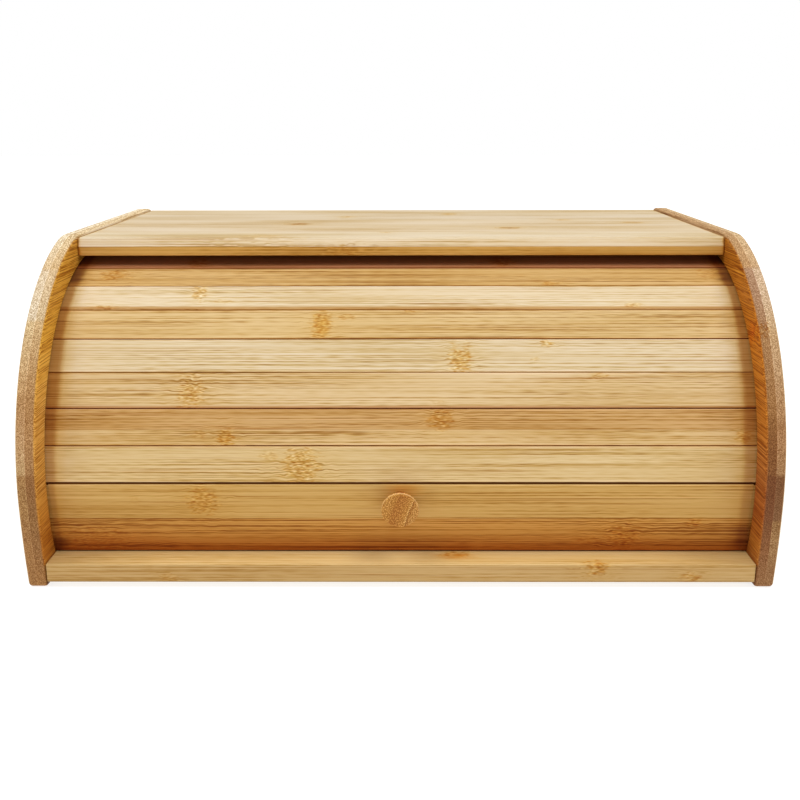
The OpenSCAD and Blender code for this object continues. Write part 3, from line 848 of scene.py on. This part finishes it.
# depth runs along +X here, so on the left board the outer layer has the smaller X
left = side_board("left_side_board", -1)
mat_left = bamboo("bamboo_left_side", Y, Z, face_left, seed=3.1, strips=(28, 64.6, 104.8, 139.2, 162.0),
                  ply=-5.25, ply_tone=inner_left, ply_strips=(18, 46, 82, 121, 150), origin=(-189.5, 0, 0),
                  knots=((20, 46, 7, 9, 0.8), (96, 118, 9, 9, 0.7), (-62, 84, 8, 10, 0.7), (70, 152, 8, 8, 0.6), (118, 14, 8, 9, 0.7)),
                  gain=GAIN["left"], size=0.85, contrast=2.7, cloud=0.41, short=0.4, fleck=1.2, calm=(0.34, 1.0), bright=(1.20, 1.32, 1.75),
                  edge=X, edge_tone=left_outer, edge_outer=left_edge)
dress(left, mat_left, "side_bamboo", "case", "side_panel_left")

right = side_board("right_side_board", 1)
mat_right = bamboo("bamboo_right_side", Y, Z, inner_right, seed=7.4, strips=(22, 52, 88, 124, 152),
                   ply=5.25, ply_tone=face_right, ply_strips=(39.6, 64.2, 91, 135, 162.5), origin=(189.5, 0, 0),
                   knots=((-107, 133, 6, 6, 1.0, 1.0, 6), (36, 52, 8, 9, 0.8), (-40, 112, 8, 9, 0.7), (104, 78, 9, 10, 0.7), (10, 150, 7, 8, 0.6), (-96, 20, 8, 8, 0.6)),
                   gain=GAIN["right"], size=0.8, contrast=3.0, cloud=0.39, short=0.35, fleck=1.5, calm=(1.0, 0.31), bright=(1.38, 1.66, 1.9),
                   stains_and_painted_light=((-100, 131, 6, 7, (1.04, 0.78, 0.5)),),
                   edge=X, edge_tone=right_edge, edge_outer=right_outer)
dress(right, mat_right, "side_bamboo", "case", "side_panel_right")

# --------------------------------------------------------------------------
# boards between the sides
# --------------------------------------------------------------------------


def drilled(ob, ys, z):
    tools = []
    for y in ys:
        for lo, hi in ((-INNER - 1, -INNER + 16.5), (INNER - 16.5, INNER + 1)):
            tools.append(cylinder_x(y, z, 3.05, lo, hi))
    return combine(ob, join("tools", tools), "DIFFERENCE")


base = prism("base_board_bamboo", round_poly([(BASE_FRONT, 3.0), (BOARD_BACK, 3.0), (BOARD_BACK, BASE_TOP), (BASE_FRONT, BASE_TOP)],
                                             (0.9, 0.9, 0.9, 0.9)), -INNER, INNER, 0.45)
drilled(base, BASE_DOWELS, BASE_TOP - 5.25)
smooth(base)
# the front strip grows lighter towards the rail: painted light that offsets the shade at the joint with the rail
base_tone = [(-141, (0.66, 0.425, 0.172)), (-137, (0.66, 0.425, 0.172)), (-130, (0.69, 0.45, 0.18)), (-124, (0.76, 0.50, 0.21)), (-118.4, (0.78, 0.51, 0.21)), (-117.6, (0.66, 0.42, 0.17)), (-96.4, (0.66, 0.42, 0.17)), (-95.6, (0.73, 0.50, 0.23)), (-50.4, (0.73, 0.50, 0.23)), (-49.6, (0.67, 0.44, 0.18)),
             (-5.4, (0.67, 0.44, 0.18)), (-4.6, (0.75, 0.53, 0.26)), (40.6, (0.75, 0.53, 0.26)), (41.4, (0.68, 0.45, 0.19)), (85.6, (0.68, 0.45, 0.19)), (86.4, (0.73, 0.51, 0.24)), (140, (0.73, 0.51, 0.24))]
# sole is a painted shade along the lowest arris
mat_base = bamboo("bamboo_base", X, Y, base_tone, seed=11.7, contrast=0.62, gain=GAIN["base"], fade=(-139.7, -140.1, (0.93, 0.84, 0.745)), sole=(4.3, 3.4, (0.66, 0.68, 0.74)), strips=(-118, -96, -50, -5, 41, 86),
                  knots=((30, -127, 9, 4.5, 0.9, 13.5, 4), (105.1, -138.5, 6.5, 4.5, 1.0, 11.5, 5), (-124.1, -140.2, 5, 4, 0.5, 5.8, 3), (155.1, -140.2, 6, 4, 0.75, 6.0, 3),
                         (-90, 20, 8, 9, 0.8), (60, 90, 8, 9, 0.8), (130, -40, 8, 9, 0.7), (-20, -70, 8, 9, 0.7)),
                  stains_and_painted_light=((30, -128, 13, 6, (0.88, 0.66, 0.40)),))
dress(base, mat_base, "base_bamboo", "case", "base_board")

top = prism("top_board_bamboo", round_poly([(TOP_FRONT, TOP_UNDER), (BOARD_BACK, TOP_UNDER), (BOARD_BACK, TOP_OVER), (TOP_FRONT + 1.2, TOP_OVER), (TOP_FRONT, TOP_OVER - 5.25)],
                                           (0.95, 1.0, 1.0, 1.4, 3.0)), -INNER, INNER, 0.9)
drilled(top, TOP_DOWELS, TOP_UNDER + 5.25)
smooth(top)
upper = [(-42, (0.80, 0.63, 0.40)), (-12.4, (0.80, 0.63, 0.40)), (-11.6, (0.78, 0.60, 0.375)), (21.6, (0.78, 0.60, 0.375)), (22.4, (0.765, 0.585, 0.36)), (62.1, (0.765, 0.585, 0.36)), (62.9, (0.755, 0.59, 0.38)), (101.6, (0.755, 0.59, 0.38)),
         (102.4, (0.75, 0.58, 0.36)), (140, (0.75, 0.58, 0.36))]
lower = [(-42, (0.68, 0.375, 0.087)), (-20.4, (0.68, 0.375, 0.087)), (-19.6, (0.70, 0.46, 0.19)), (30, (0.70, 0.46, 0.19)), (30.8, (0.74, 0.52, 0.25)), (75.6, (0.74, 0.52, 0.25)), (76.4, (0.68, 0.45, 0.19)), (140, (0.68, 0.45, 0.19))]
# the darkening by both side boards is painted shade in the gaps there, and the lighter front face is painted light
mat_top = bamboo("bamboo_top", X, Y, lower, seed=19.3, contrast=0.62, cloud=2.3, short=1.6, fleck=0.8, ends=(2.6, 2.6, 1.0), lips=None, gain=GAIN["top"], fade=(-40.2, -40.9, (1.285, 1.27, 1.27)), strips=(-20, 30.4, 76),
                 ply=170.25, ply_tone=upper, ply_strips=(-12, 22, 62.5, 102),
                 knots=((-67.5, 36, 8, 6.5, 1.0, 175.5, 6), (-84, -33, 16, 7, 0.55, 175.5, 5), (-38.7, 85.4, 7, 9, 0.6, 175.5, 6), (-8.7, -14.9, 5, 3, 0.6, 175.5, 6),
                        (33.9, 105.5, 6, 8, 0.7, 175.5, 6), (68.1, 10.6, 9, 5, 0.95, 175.5, 6), (153.4, 43.3, 9, 4, 0.85, 175.5, 6), (109.8, 61.6, 7, 5, 0.65, 175.5, 6),
                        (-33, -41.7, 11, 4, 0.42, 168, 4), (40, 60, 8, 9, 0.7, 165, 4), (-110, 10, 8, 9, 0.7, 165, 4)),
                 stains_and_painted_light=((-66.5, 36, 9, 3.2, (0.56, 0.38, 0.22)), (68.1, 10.6, 8, 2.8, (0.62, 0.44, 0.28)), (153.4, 43.3, 8, 2.6, (0.70, 0.54, 0.36))))
dress(top, mat_top, "top_bamboo", "case", "top_panel")

back = prism("back_board_bamboo", round_poly([(BACK_Y0, BASE_TOP), (BACK_Y1, BASE_TOP), (BACK_Y1, TOP_UNDER), (BACK_Y0, TOP_UNDER)], 0.35),
             -192.3, 192.3, 0.3)
smooth(back)
back_tone = []
for k, (lo_z, c) in enumerate(zip((13.5, 35, 57, 78, 100, 122, 143),
                                  ((0.70, 0.47, 0.20), (0.76, 0.55, 0.28), (0.68, 0.44, 0.17), (0.78, 0.58, 0.32), (0.72, 0.49, 0.22), (0.75, 0.54, 0.27), (0.67, 0.43, 0.17)))):
    hi_z = (35, 57, 78, 100, 122, 143, 165)[k]
    back_tone += [(lo_z + (0.3 if k else 0), c), (hi_z - (0.3 if k < 6 else 0), c)]
mat_back = bamboo("bamboo_back", X, Z, back_tone, seed=23.9, gain=GAIN["back"], strips=(35, 57, 78, 100, 122, 143),
                  knots=((-120, 46, 8, 10, 1.0), (-30, 24, 7, 9, 0.9), (70, 68, 9, 9, 1.0), (150, 110, 8, 9, 0.9), (-80, 90, 8, 9, 0.9), (20, 132, 8, 9, 1.0), (-150, 154, 8, 9, 0.8), (110, 154, 7, 8, 0.9), (5, 89, 7, 9, 0.8)))
dress(back, mat_back, "back_bamboo", "case", "back_panel")

# --------------------------------------------------------------------------
# shutter: slats and rail
# --------------------------------------------------------------------------
# tone and knots are each slat's own; the factors towards the side boards, at the joints and along the lower edge are
# painted shade
SLATS = {
    1: dict(tone=(0.76, 0.54, 0.26), slot="slat_mid", ends=(11.5, 14.5, 0.70), joint_shade=((0.30, 0.15, 0.05), (0.84, 0.70, 0.60)), contrast=0.95, warmth=0.5,
            knots=((-53.2, -0.6, 11, 10, 1.0), (-70, 4.5, 6, 2.5, 0.5))),
    2: dict(tone=[(-10, (0.775, 0.515, 0.225)), (-1.7, (0.765, 0.505, 0.22)), (-0.9, (0.68, 0.395, 0.145)), (10, (0.69, 0.405, 0.15))], strips=(-1.3,), slot="slat_dark",
            ends=(13, 15.5, 0.92), joint_shade=((0.62, 0.40, 0.20), (0.70, 0.58, 0.55)), contrast=1.3,
            knots=((-93.7, -5.2, 5.5, 5, 1.0), (21.6, 4.4, 8, 5.5, 0.9), (183, -5.0, 5, 4, 0.8), (-107, -4, 5, 2.5, 0.4))),
    3: dict(tone=(0.78, 0.54, 0.27), slot="slat_mid", ends=(15, 14.5, 1.0), under=(1.7, (0.72, 0.55, 0.42)), joint_shade=((0.42, 0.20, 0.06), (0.90, 0.80, 0.66)), contrast=1.1, warmth=0.45,
            knots=((-112.4, -1.5, 7.5, 9.5, 1.0), (106.6, 7.8, 5, 1.8, 0.7), (20, -6.5, 4, 1.2, 0.3))),
    4: dict(tone=(0.81, 0.62, 0.36), slot="slat_light", ends=(14.5, 13.5, 1.0), joint_shade=((0.76, 0.62, 0.38), (0.76, 0.62, 0.42)), contrast=0.95,
            knots=((32.6, -2.4, 6.5, 10, 1.0), (80.2, 7.2, 4, 2.4, 0.9), (73, -2.5, 3, 1.5, 0.5))),
    5: dict(tone=(0.76, 0.52, 0.225), slot="slat_mid", ends=(11, 11, 1.0), under=(1.3, (0.88, 0.78, 0.60)), joint_shade=((0.48, 0.28, 0.09), (0.88, 0.74, 0.42)), contrast=1.45, warmth=0.8, stains_and_painted_light=((-43.3, -0.5, 6, 11, (0.95, 0.87, 0.58)),),
            knots=((-43.3, -0.5, 6.5, 10, 1.0), (-30, 5, 6, 2.2, 0.6), (5.7, 9.0, 3.5, 1.4, 0.7))),
    6: dict(tone=(0.83, 0.655, 0.40), slot="slat_light", ends=(11, 9.8, 1.0), under=(3.3, (0.74, 0.55, 0.31)), joint_shade=((0.75, 0.60, 0.32), (0.95, 0.88, 0.75)), contrast=0.9, warmth=0.65,
            knots=((-113.5, 4.2, 4.2, 6.5, 1.0), (-166, -7.5, 9, 1.6, 0.8), (129.7, -6.6, 6, 2.4, 0.8), (-100, -3, 6, 1.8, 0.5))),
    # slat 7: the darker upper edge is the painted shadow of the top board, and the dark patches at both sides are
    # painted shade by the side boards
    7: dict(tone=(0.73, 0.46, 0.18), slot="slat_mid", ends=(13, 12.5, 1.0), stains_and_painted_light=((-189, 0, 7, 14, (0.48, 0.40, 0.36)), (189, 0, 7, 14, (0.52, 0.44, 0.40))), fade=(7.6, 9.7, (0.42, 0.24, 0.13)), joint_shade=((0.88, 0.80, 0.55), (0.9, 0.8, 0.6)), contrast=1.6,
            knots=((-166, 1.5, 9, 6.5, 0.9), (85.8, -7.8, 6, 2.2, 0.8), (180, 3, 9, 7, 0.5))),
    8: dict(tone=(0.74, 0.50, 0.22), slot="slat_mid", joint_shade=((0.6, 0.4, 0.2), (0.8, 0.7, 0.5)), knots=((60, 0, 8, 9, 1.0), (-120, 0, 7, 9, 0.9))),
    9: dict(tone=(0.77, 0.55, 0.27), slot="slat_mid", joint_shade=((0.6, 0.4, 0.2), (0.8, 0.7, 0.5)), knots=((-20, 0, 8, 9, 1.0), (140, 0, 7, 9, 0.9))),
}

for i, look in SLATS.items():
    phi = FIRST_PHI - (i - 0.5) * STEP
    low_bevel = 1.3 if i == 6 else 0.3
    corners = on_ring(phi, [(SLAT_IN, -SLAT_HW), (SLAT_OUT, -SLAT_FACE), (SLAT_OUT, SLAT_FACE), (SLAT_IN, SLAT_HW)])
    ob = prism(f"slat_{i:02d}_bamboo", round_poly(corners, (0.25, low_bevel, 0.3, 0.25)), -SLAT_X, SLAT_X, 0.2)
    smooth(ob)
    (ny, nz), (sy, sz) = ring_axes(phi)
    mat = bamboo(f"bamboo_slat_{i:02d}", X, (0, sy, sz), look["tone"], origin=(0, AXIS_Y + SLAT_OUT * ny, AXIS_Z + SLAT_OUT * nz),
                 seed=31.0 + 6.7 * i, strips=look.get("strips", ()), knots=look["knots"], gain=GAIN[f"s{i}"],
                 stains_and_painted_light=look.get("stains_and_painted_light", ()), ends=look.get("ends", (13, 14, 1.0)), lips=(-SLAT_FACE, SLAT_FACE), under=look.get("under"), joint_shade=look["joint_shade"], contrast=look.get("contrast", 1.0), fade=look.get("fade"), warmth=look.get("warmth", 0.85))
    dress(ob, mat, look["slot"], "shutter", f"slat_{i:02d}")


def rail_piece():
    def low(n):
        """Place up the rail of the line 0.3 mm over the base board, at depth n."""
        a = math.radians(RAIL_PHI)
        return (BASE_TOP + 0.3 - AXIS_Z - n * math.sin(a)) / -math.cos(a)

    up, r_in = RAIL_UP, RAIL_FACE - 9.0
    back = SLAT_IN / math.cos(math.radians(STEP / 2)) * math.cos(math.radians(RAIL_HALF)) + 0.65
    pts = [(r_in, low(r_in)), (RAIL_FACE, low(RAIL_FACE)), (RAIL_FACE, up - 1.25), (RAIL_FACE - 0.6, up - 0.65), (back, up - 1.12), (back, up - 5.12), (r_in, up - 5.12)]
    main = prism("lead_rail_bamboo", round_poly(on_ring(RAIL_PHI, pts), (0.5, 0.9, 0.7, 0.45, 0.45, 0.2, 0.45)), -189.1, 189.1, 0.35)
    # curved tenons that run in the grooves
    r0, n = 112.2, 16
    top, bottom = math.degrees(math.asin((up - 1.5) / r0)), math.degrees(math.asin((low(r0) + 0.1) / r0))
    poly = on_ring(RAIL_PHI, [(RAIL_FACE - 0.1, up - 1.5), (RAIL_FACE - 0.1, low(RAIL_FACE) + 0.1)])
    for k in range(n + 1):
        a = math.radians(bottom + (top - bottom) * k / n)
        poly += on_ring(RAIL_PHI, [(r0 * math.cos(a), r0 * math.sin(a))])
    for x0, x1, e0, e1 in ((-SLAT_X, -187.0, 0.4, 0.0), (187.0, SLAT_X, 0.0, 0.4)):
        combine(main, tenon(poly, x0, x1, e0, e1), "UNION")
    return main


def tenon(poly, x0, x1, e0, e1):
    bm = bmesh.new()
    layers = [(x0, e0)] + ([(x0 + e0, 0)] if e0 else []) + ([(x1 - e1, 0)] if e1 else []) + [(x1, e1)]
    rings = [[bm.verts.new((x * MM, y * MM, z * MM)) for y, z in inset(poly, d)] for x, d in layers]
    n = len(poly)
    for a, b in zip(rings, rings[1:]):
        for i in range(n):
            j = (i + 1) % n
            bm.faces.new((a[i], a[j], b[j], b[i]))
    bm.faces.new(rings[0][::-1])
    bm.faces.new(rings[-1])
    return from_bmesh("tenon", bm)


# the knob's axis: local Z out of the rail, origin on the rail's face
(rny, rnz), (rsy, rsz) = ring_axes(RAIL_PHI)
knob_n = Vector((0, rny, rnz))
knob_s = Vector((0, rsy, rsz))
knob_o = Vector((0, AXIS_Y, AXIS_Z)) + knob_n * RAIL_FACE + knob_s * KNOB_UP
PLACE = Matrix.Translation(knob_o) @ Matrix((knob_s.cross(knob_n), knob_s, knob_n)).transposed().to_4x4()

rail = rail_piece()
combine(rail, revolve("hole", [(0, -12), (1.95, -12), (1.95, 2), (0, 2)], PLACE, 48), "DIFFERENCE")
smooth(rail)
rail_tone = [(-22, (0.56, 0.233, 0.038)), (-12, (0.60, 0.263, 0.047)), (-1.7, (0.64, 0.31, 0.065)), (-0.9, (0.69, 0.41, 0.125)), (20, (0.71, 0.435, 0.14))]
# rail: darker towards its bottom, partly the strip's own tone and partly painted shade where it meets the base board;
# the darkening towards the side boards, at both long edges and in the two lower corners is painted shade, the lines
# beside the long edges are painted highlight, and the lighter, warmer patch above the knob is painted light over the
# knob's shadow
mat_rail = bamboo("bamboo_rail", X, (0, rsy, rsz), rail_tone, origin=(0, AXIS_Y + RAIL_FACE * rny, AXIS_Z + RAIL_FACE * rnz), seed=5.3, contrast=0.75,
                  strips=(-1.3,), fade=(-10, -21.5, (0.81, 0.50, 0.25)), gain=GAIN["rail"], coarse=3.8, ends=(9, 14, 0.52), lips=(-21.2, 19.3), heavy=(-1.3, 2.3),
                  joint_shade=((0.42, 0.28, 0.14), (0.38, 0.24, 0.12)), arris_highlight=(1.24, 1.30, 1.55), warmth=0.55,
                  knots=((-106.6, 9.5, 9, 9, 0.95), (-168, -14, 24, 8, 0.55), (121.2, -12.3, 10, 8, 0.9), (159.6, -4.3, 5, 3, 0.8), (-143, 10, 3, 3, 0.2), (102, -15, 9, 3, 0.5)),
                  stains_and_painted_light=((2, 16.5, 14, 5, (1.20, 1.09, 0.80)), (-188, -17, 7, 7, (0.50, 0.42, 0.42)), (188, -14, 11, 9, (0.66, 0.54, 0.60)), (-150, -14, 45, 9, (0.96, 0.88, 0.80))))
dress(rail, mat_rail, "rail_bamboo", "shutter", "lead_rail")

# --------------------------------------------------------------------------
# knob, screw and washer
# --------------------------------------------------------------------------
neck = [(5.6, 0.0), (5.42, 0.5), (5.28, 1.2), (5.2, 2.0), (5.24, 2.8), (5.42, 3.5), (5.78, 4.2), (6.35, 5.0), (7.1, 6.0), (7.9, 7.1), (8.75, 8.3), (9.45, 9.3)]
rim = [(8.6 + 1.4 * math.cos(math.radians(a)), 10.6 + 1.4 * math.sin(math.radians(a))) for a in range(-36, 91, 14)]
knob = revolve("knob_bamboo", [(1.8, 0.0)] + neck + rim + [(6.5, 12.0), (3.2, 12.0), (0, 12.0), (0, 8.0), (1.8, 8.0)], PLACE, 128)
smooth(knob, 40)


def knob_material():
    t = Net("bamboo_knob")
    pos = t.add("ShaderNodeTexCoord")
    local = t.away(pos.outputs["Object"], scaled(knob_o, MM))
    right = (1, 0, 0)
    h, x, y = (t.dot(local, scaled(v, 1000)) for v in (tuple(knob_n), right, tuple(knob_s)))
    c, s = math.cos(math.radians(71)), math.sin(math.radians(71))
    # growth bands run from lower left to upper right on the face
    along = t.plus(t.times(x, c), t.times(y, s))
    over = t.plus(t.times(x, -s), t.times(y, c))
    sway = t.noise(t.xyz(t.times(along, 0.12), t.times(over, 0.12), 3.0), 1.0)
    over = t.plus(over, t.times(sway, 0.8), -0.4, t.times(t.times(along, along), 0.005))
    tone = t.ramp(t.span(over, -11, 11, soft=False),
                  [(0.0, (0.57, 0.31, 0.110)), (0.18, (0.55, 0.30, 0.105)), (0.235, (0.50, 0.25, 0.075)), (0.275, (0.38, 0.165, 0.040)), (0.300, (0.68, 0.42, 0.17)), (0.335, (0.56, 0.29, 0.085)),
                   (0.46, (0.50, 0.235, 0.062)), (0.58, (0.47, 0.21, 0.052)), (0.635, (0.45, 0.195, 0.045)), (0.71, (0.54, 0.275, 0.078)), (0.82, (0.57, 0.305, 0.095)), (1.0, (0.56, 0.30, 0.095))])
    tone = t.mix(1.0, tone, GAIN["knob"], "MULTIPLY")
    dots = t.cells(t.xyz(t.times(along, 1 / 0.9), t.times(over, 1 / 0.8), t.times(h, 1 / 9)))
    fine = t.noise(t.xyz(t.times(along, 1 / 0.55), t.times(over, 1 / 0.55), t.times(h, 1 / 6)), 0.0)
    holes = t.cells(t.xyz(t.plus(t.times(along, 1 / 1.5), 40), t.times(over, 1 / 1.5), t.times(h, 1 / 9)))
    speck = t.plus(t.span(dots, 0.10, 0.42, 0.62, 0.0), t.times(t.m("SUBTRACT", fine, 0.5), 2.3), t.span(holes, 0.10, 0.26, -0.50, 0.0), 0.32)
    speckle = t.ramp(speck, [(0.0, (0.58, 0.43, 0.24)), (0.40, (0.91, 0.87, 0.78)), (0.62, (1.12, 1.19, 1.33)), (1.0, (1.44, 1.70, 2.50))])
    colour = t.mix(1.0, tone, speckle, "MULTIPLY")
    r = t.m("SQRT", t.plus(t.times(x, x), t.times(y, y)))
    # painted highlight along the rim, strongest on its upper side
    rim_highlight = t.times(t.times(t.span(r, 9.0, 9.35), t.span(t.m("ABSOLUTE", t.m("SUBTRACT", h, 11.2)), 0.12, 0.5, 1.0, 0.0)), t.span(y, -4.0, 4.0, 0.15, 1.0))
    colour = t.mix(t.times(rim_highlight, 0.85), colour, t.mix(0.35, (0.80, 0.53, 0.22), colour))
    # the neck, turned across the fibres, is darker
    colour = t.mix(t.span(h, 9.6, 7.6), colour, t.mix(1.0, colour, (0.78, 0.60, 0.42), "MULTIPLY"))
    rough = t.plus(t.times(fine, 0.16), 0.48)
    return t.surface(colour, rough, speck, 0.05, 0.6, **{"Specular IOR Level": 0.18})


dress(knob, knob_material(), "knob_bamboo", "shutter", "knob")

head = -10.1
screw_profile = [(0, head - 2.4), (1.0, head - 2.38), (1.9, head - 2.25), (2.6, head - 1.98), (3.15, head - 1.5), (3.45, head - 0.95), (3.6, head - 0.4), (3.6, head - 0.12), (3.48, head),
                 (1.75, head), (1.75, -9.0)]
for k in range(22):
    z = -9.0 + 0.75 * k
    if z + 0.75 < 6.4:
        screw_profile += [(1.32, z + 0.30), (1.74, z + 0.62)]
screw_profile += [(1.2, 6.9), (0.5, 7.3), (0, 7.4)]
screw = revolve("knob_screw_steel", screw_profile, PLACE, 64)


def slot_tool(turn):
    c, s = math.cos(turn), math.sin(turn)
    bm = bmesh.new()
    rows = []
    for z, l, w in ((head - 3.0, 2.25, 0.52), (head - 0.9, 1.25, 0.3)):
        rows.append([bm.verts.new(PLACE @ Vector((c * x - s * y, s * x + c * y, z)) * MM) for x, y in ((-l, -w), (l, -w), (l, w), (-l, w))])
    for i in range(4):
        j = (i + 1) % 4
        bm.faces.new((rows[0][i], rows[0][j], rows[1][j], rows[1][i]))
    bm.faces.new(rows[0][::-1])
    bm.faces.new(rows[1])
    return from_bmesh("slot", bm)


for turn in (0.3, 0.3 + math.pi / 2):
    combine(screw, slot_tool(turn), "DIFFERENCE")
smooth(screw, 30)
screw_centre = tuple(knob_o)
dress(screw, steel_material("screw_steel", screw_centre, knob_n), "steel", "shutter", "knob_screw")

wz0, wz1 = -10.05, -9.05
washer = revolve("knob_washer_steel", [(1.92, wz0), (5.25, wz0), (5.42, wz0 + 0.06), (5.5, wz0 + 0.22), (5.5, wz1 - 0.22), (5.42, wz1 - 0.06), (5.25, wz1), (1.92, wz1)], PLACE, 64)
smooth(washer, 30)
dress(washer, steel_material("washer_steel", screw_centre, knob_n), "steel", "shutter", "knob_washer")

# --------------------------------------------------------------------------
# cloth behind the slats
# --------------------------------------------------------------------------


def cloth():
    n_out, n_in = SLAT_IN - 0.02, SLAT_IN - 0.62
    tan = math.tan(math.radians(STEP / 2))
    outer, inner = [], []
    for n, row in ((n_out, outer), (n_in, inner)):
        row += on_ring(FIRST_PHI - 0.5 * STEP, [(n, -n_out * tan - 2.4)])
        for j in range(9):
            for f in (0.0, 0.5):
                row += on_ring(FIRST_PHI - (j + 0.5) * STEP, [(n, n * tan * (2 * f - 1))])
        row += on_ring(FIRST_PHI - 8.5 * STEP, [(n, n * tan)])
    bm = bmesh.new()
    cols = 60
    rows = []
    ring = outer + inner[::-1]
    for k in range(cols + 1):
        x = -182.5 + 365.0 * k / cols
        rows.append([bm.verts.new((x * MM, y * MM, z * MM)) for y, z in ring])
    m = len(ring)
    for a, b in zip(rows, rows[1:]):
        for i in range(m):
            j = (i + 1) % m
            bm.faces.new((a[i], a[j], b[j], b[i]))
    half = len(outer)
    for row, flip in ((rows[0], True), (rows[-1], False)):
        for i in range(half - 1):
            quad = [row[i], row[i + 1], row[m - 2 - i], row[m - 1 - i]]
            bm.faces.new(quad[::-1] if flip else quad)
    return from_bmesh("canvas_sheet", bm)


canvas = cloth()
smooth(canvas, 30)
dress(canvas, canvas_material(), "canvas", "shutter", "canvas_backing")

# dowels keep their own solids
for node in ("dowels_left", "dowels_right"):
    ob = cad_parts[node]
    ob.data.materials.clear()
    ob.data.materials.append(dowel_material())
    for name, kind in (("weld", "WELD"), ("ease", "BEVEL")):
        mod = ob.modifiers.new(name, kind)
        if kind == "WELD":
            mod.merge_threshold = 1e-6
        else:
            mod.width, mod.segments, mod.limit_method, mod.angle_limit = 0.0005, 2, "ANGLE", math.radians(50)

# --------------------------------------------------------------------------
# stage, light and camera
# --------------------------------------------------------------------------


def floor():
    """A pale floor, very slightly uneven so that it isn't a bare plane."""
    bm = bmesh.new()
    size, n = 6.0, 12
    grid = [[bm.verts.new((size * (2 * i / n - 1), size * (2 * j / n - 1), 0.0)) for i in range(n + 1)] for j in range(n + 1)]
    for j in range(n):
        for i in range(n):
            bm.faces.new((grid[j][i], grid[j][i + 1], grid[j + 1][i + 1], grid[j + 1][i]))
    ob = from_bmesh("studio_floor", bm)
    t = Net("studio_white")
    pos = t.add("ShaderNodeTexCoord")
    mottle = t.noise(t.xyz(t.times(t.dot(pos.outputs["Object"], X), 3.0), t.times(t.dot(pos.outputs["Object"], Y), 3.0), 0.0), 2.0)
    mat = t.surface(t.ramp(mottle, [(0.3, (0.36, 0.36, 0.36)), (0.7, (0.37, 0.37, 0.37))]), t.plus(t.times(mottle, 0.1), 0.85),
                    **{"Specular IOR Level": 0.1, "Emission Color": (1, 1, 1, 1), "Emission Strength": 0.80})
    ob.data.materials.append(mat)
    return ob


floor()


def sun(name, direction, strength, spread, colour=(1, 1, 1)):
    """A very large distant softbox: spread is its angular width in degrees."""
    data = bpy.data.lights.new(name, "SUN")
    data.energy, data.angle, data.color = strength, math.radians(spread), colour
    ob = bpy.data.objects.new(name, data)
    scene.collection.objects.link(ob)
    ob.location = (0, 0, 2)
    ob.rotation_mode = "QUATERNION"
    ob.rotation_quaternion = Vector(direction).to_track_quat("-Z", "Y")
    return ob


sun("overhead_softbox", (0.0, 0.08, -1.0), 1.05, 70)
sun("left_softbox", (0.55, 0.05, -1.0), 1.0, 24)
sun("right_softbox", (-0.55, 0.05, -1.0), 1.0, 24)

world = bpy.data.worlds.new("studio")
scene.world = world
world.use_nodes = True
wn = world.node_tree
wn.nodes.clear()
out = wn.nodes.new("ShaderNodeOutputWorld")
bg = wn.nodes.new("ShaderNodeBackground")
bg.inputs["Color"].default_value = (1, 1, 1, 1)
path = wn.nodes.new("ShaderNodeLightPath")
level = wn.nodes.new("ShaderNodeMapRange")
level.inputs["To Min"].default_value = 0.34
level.inputs["To Max"].default_value = 1.0
wn.links.new(path.outputs["Is Camera Ray"], level.inputs["Value"])
wn.links.new(level.outputs[0], bg.inputs["Strength"])
wn.links.new(bg.outputs[0], out.inputs["Surface"])

scene.view_settings.view_transform = "Standard"
scene.view_settings.look = "None"
scene.view_settings.exposure = 0.0

PITCH, YAW, ROLL, FOCAL_PX = 0.27234, 0.0064706, -0.0021210, 1014.93
cp, sp, cy, sy_ = math.cos(PITCH), math.sin(PITCH), math.cos(YAW), math.sin(YAW)
fwd = Vector((-sy_ * cp, cy * cp, -sp))
right0, up0 = Vector((cy, sy_, 0)), Vector((-sy_ * sp, cy * sp, cp))
cam_right = right0 * math.cos(ROLL) + up0 * math.sin(ROLL)
cam_up = -right0 * math.sin(ROLL) + up0 * math.cos(ROLL)
cam_data = bpy.data.cameras.new("camera")
cam_data.sensor_fit, cam_data.sensor_width = "HORIZONTAL", 36.0
cam_data.lens = 36.0 * FOCAL_PX / 800
cam_data.clip_start, cam_data.clip_end = 0.02, 50
cam = bpy.data.objects.new("camera", cam_data)
scene.collection.objects.link(cam)
m = Matrix((cam_right, cam_up, -fwd)).transposed().to_4x4()
m.translation = Vector((0.003351, -0.637764, 0.243517))
cam.matrix_world = m
scene.camera = cam
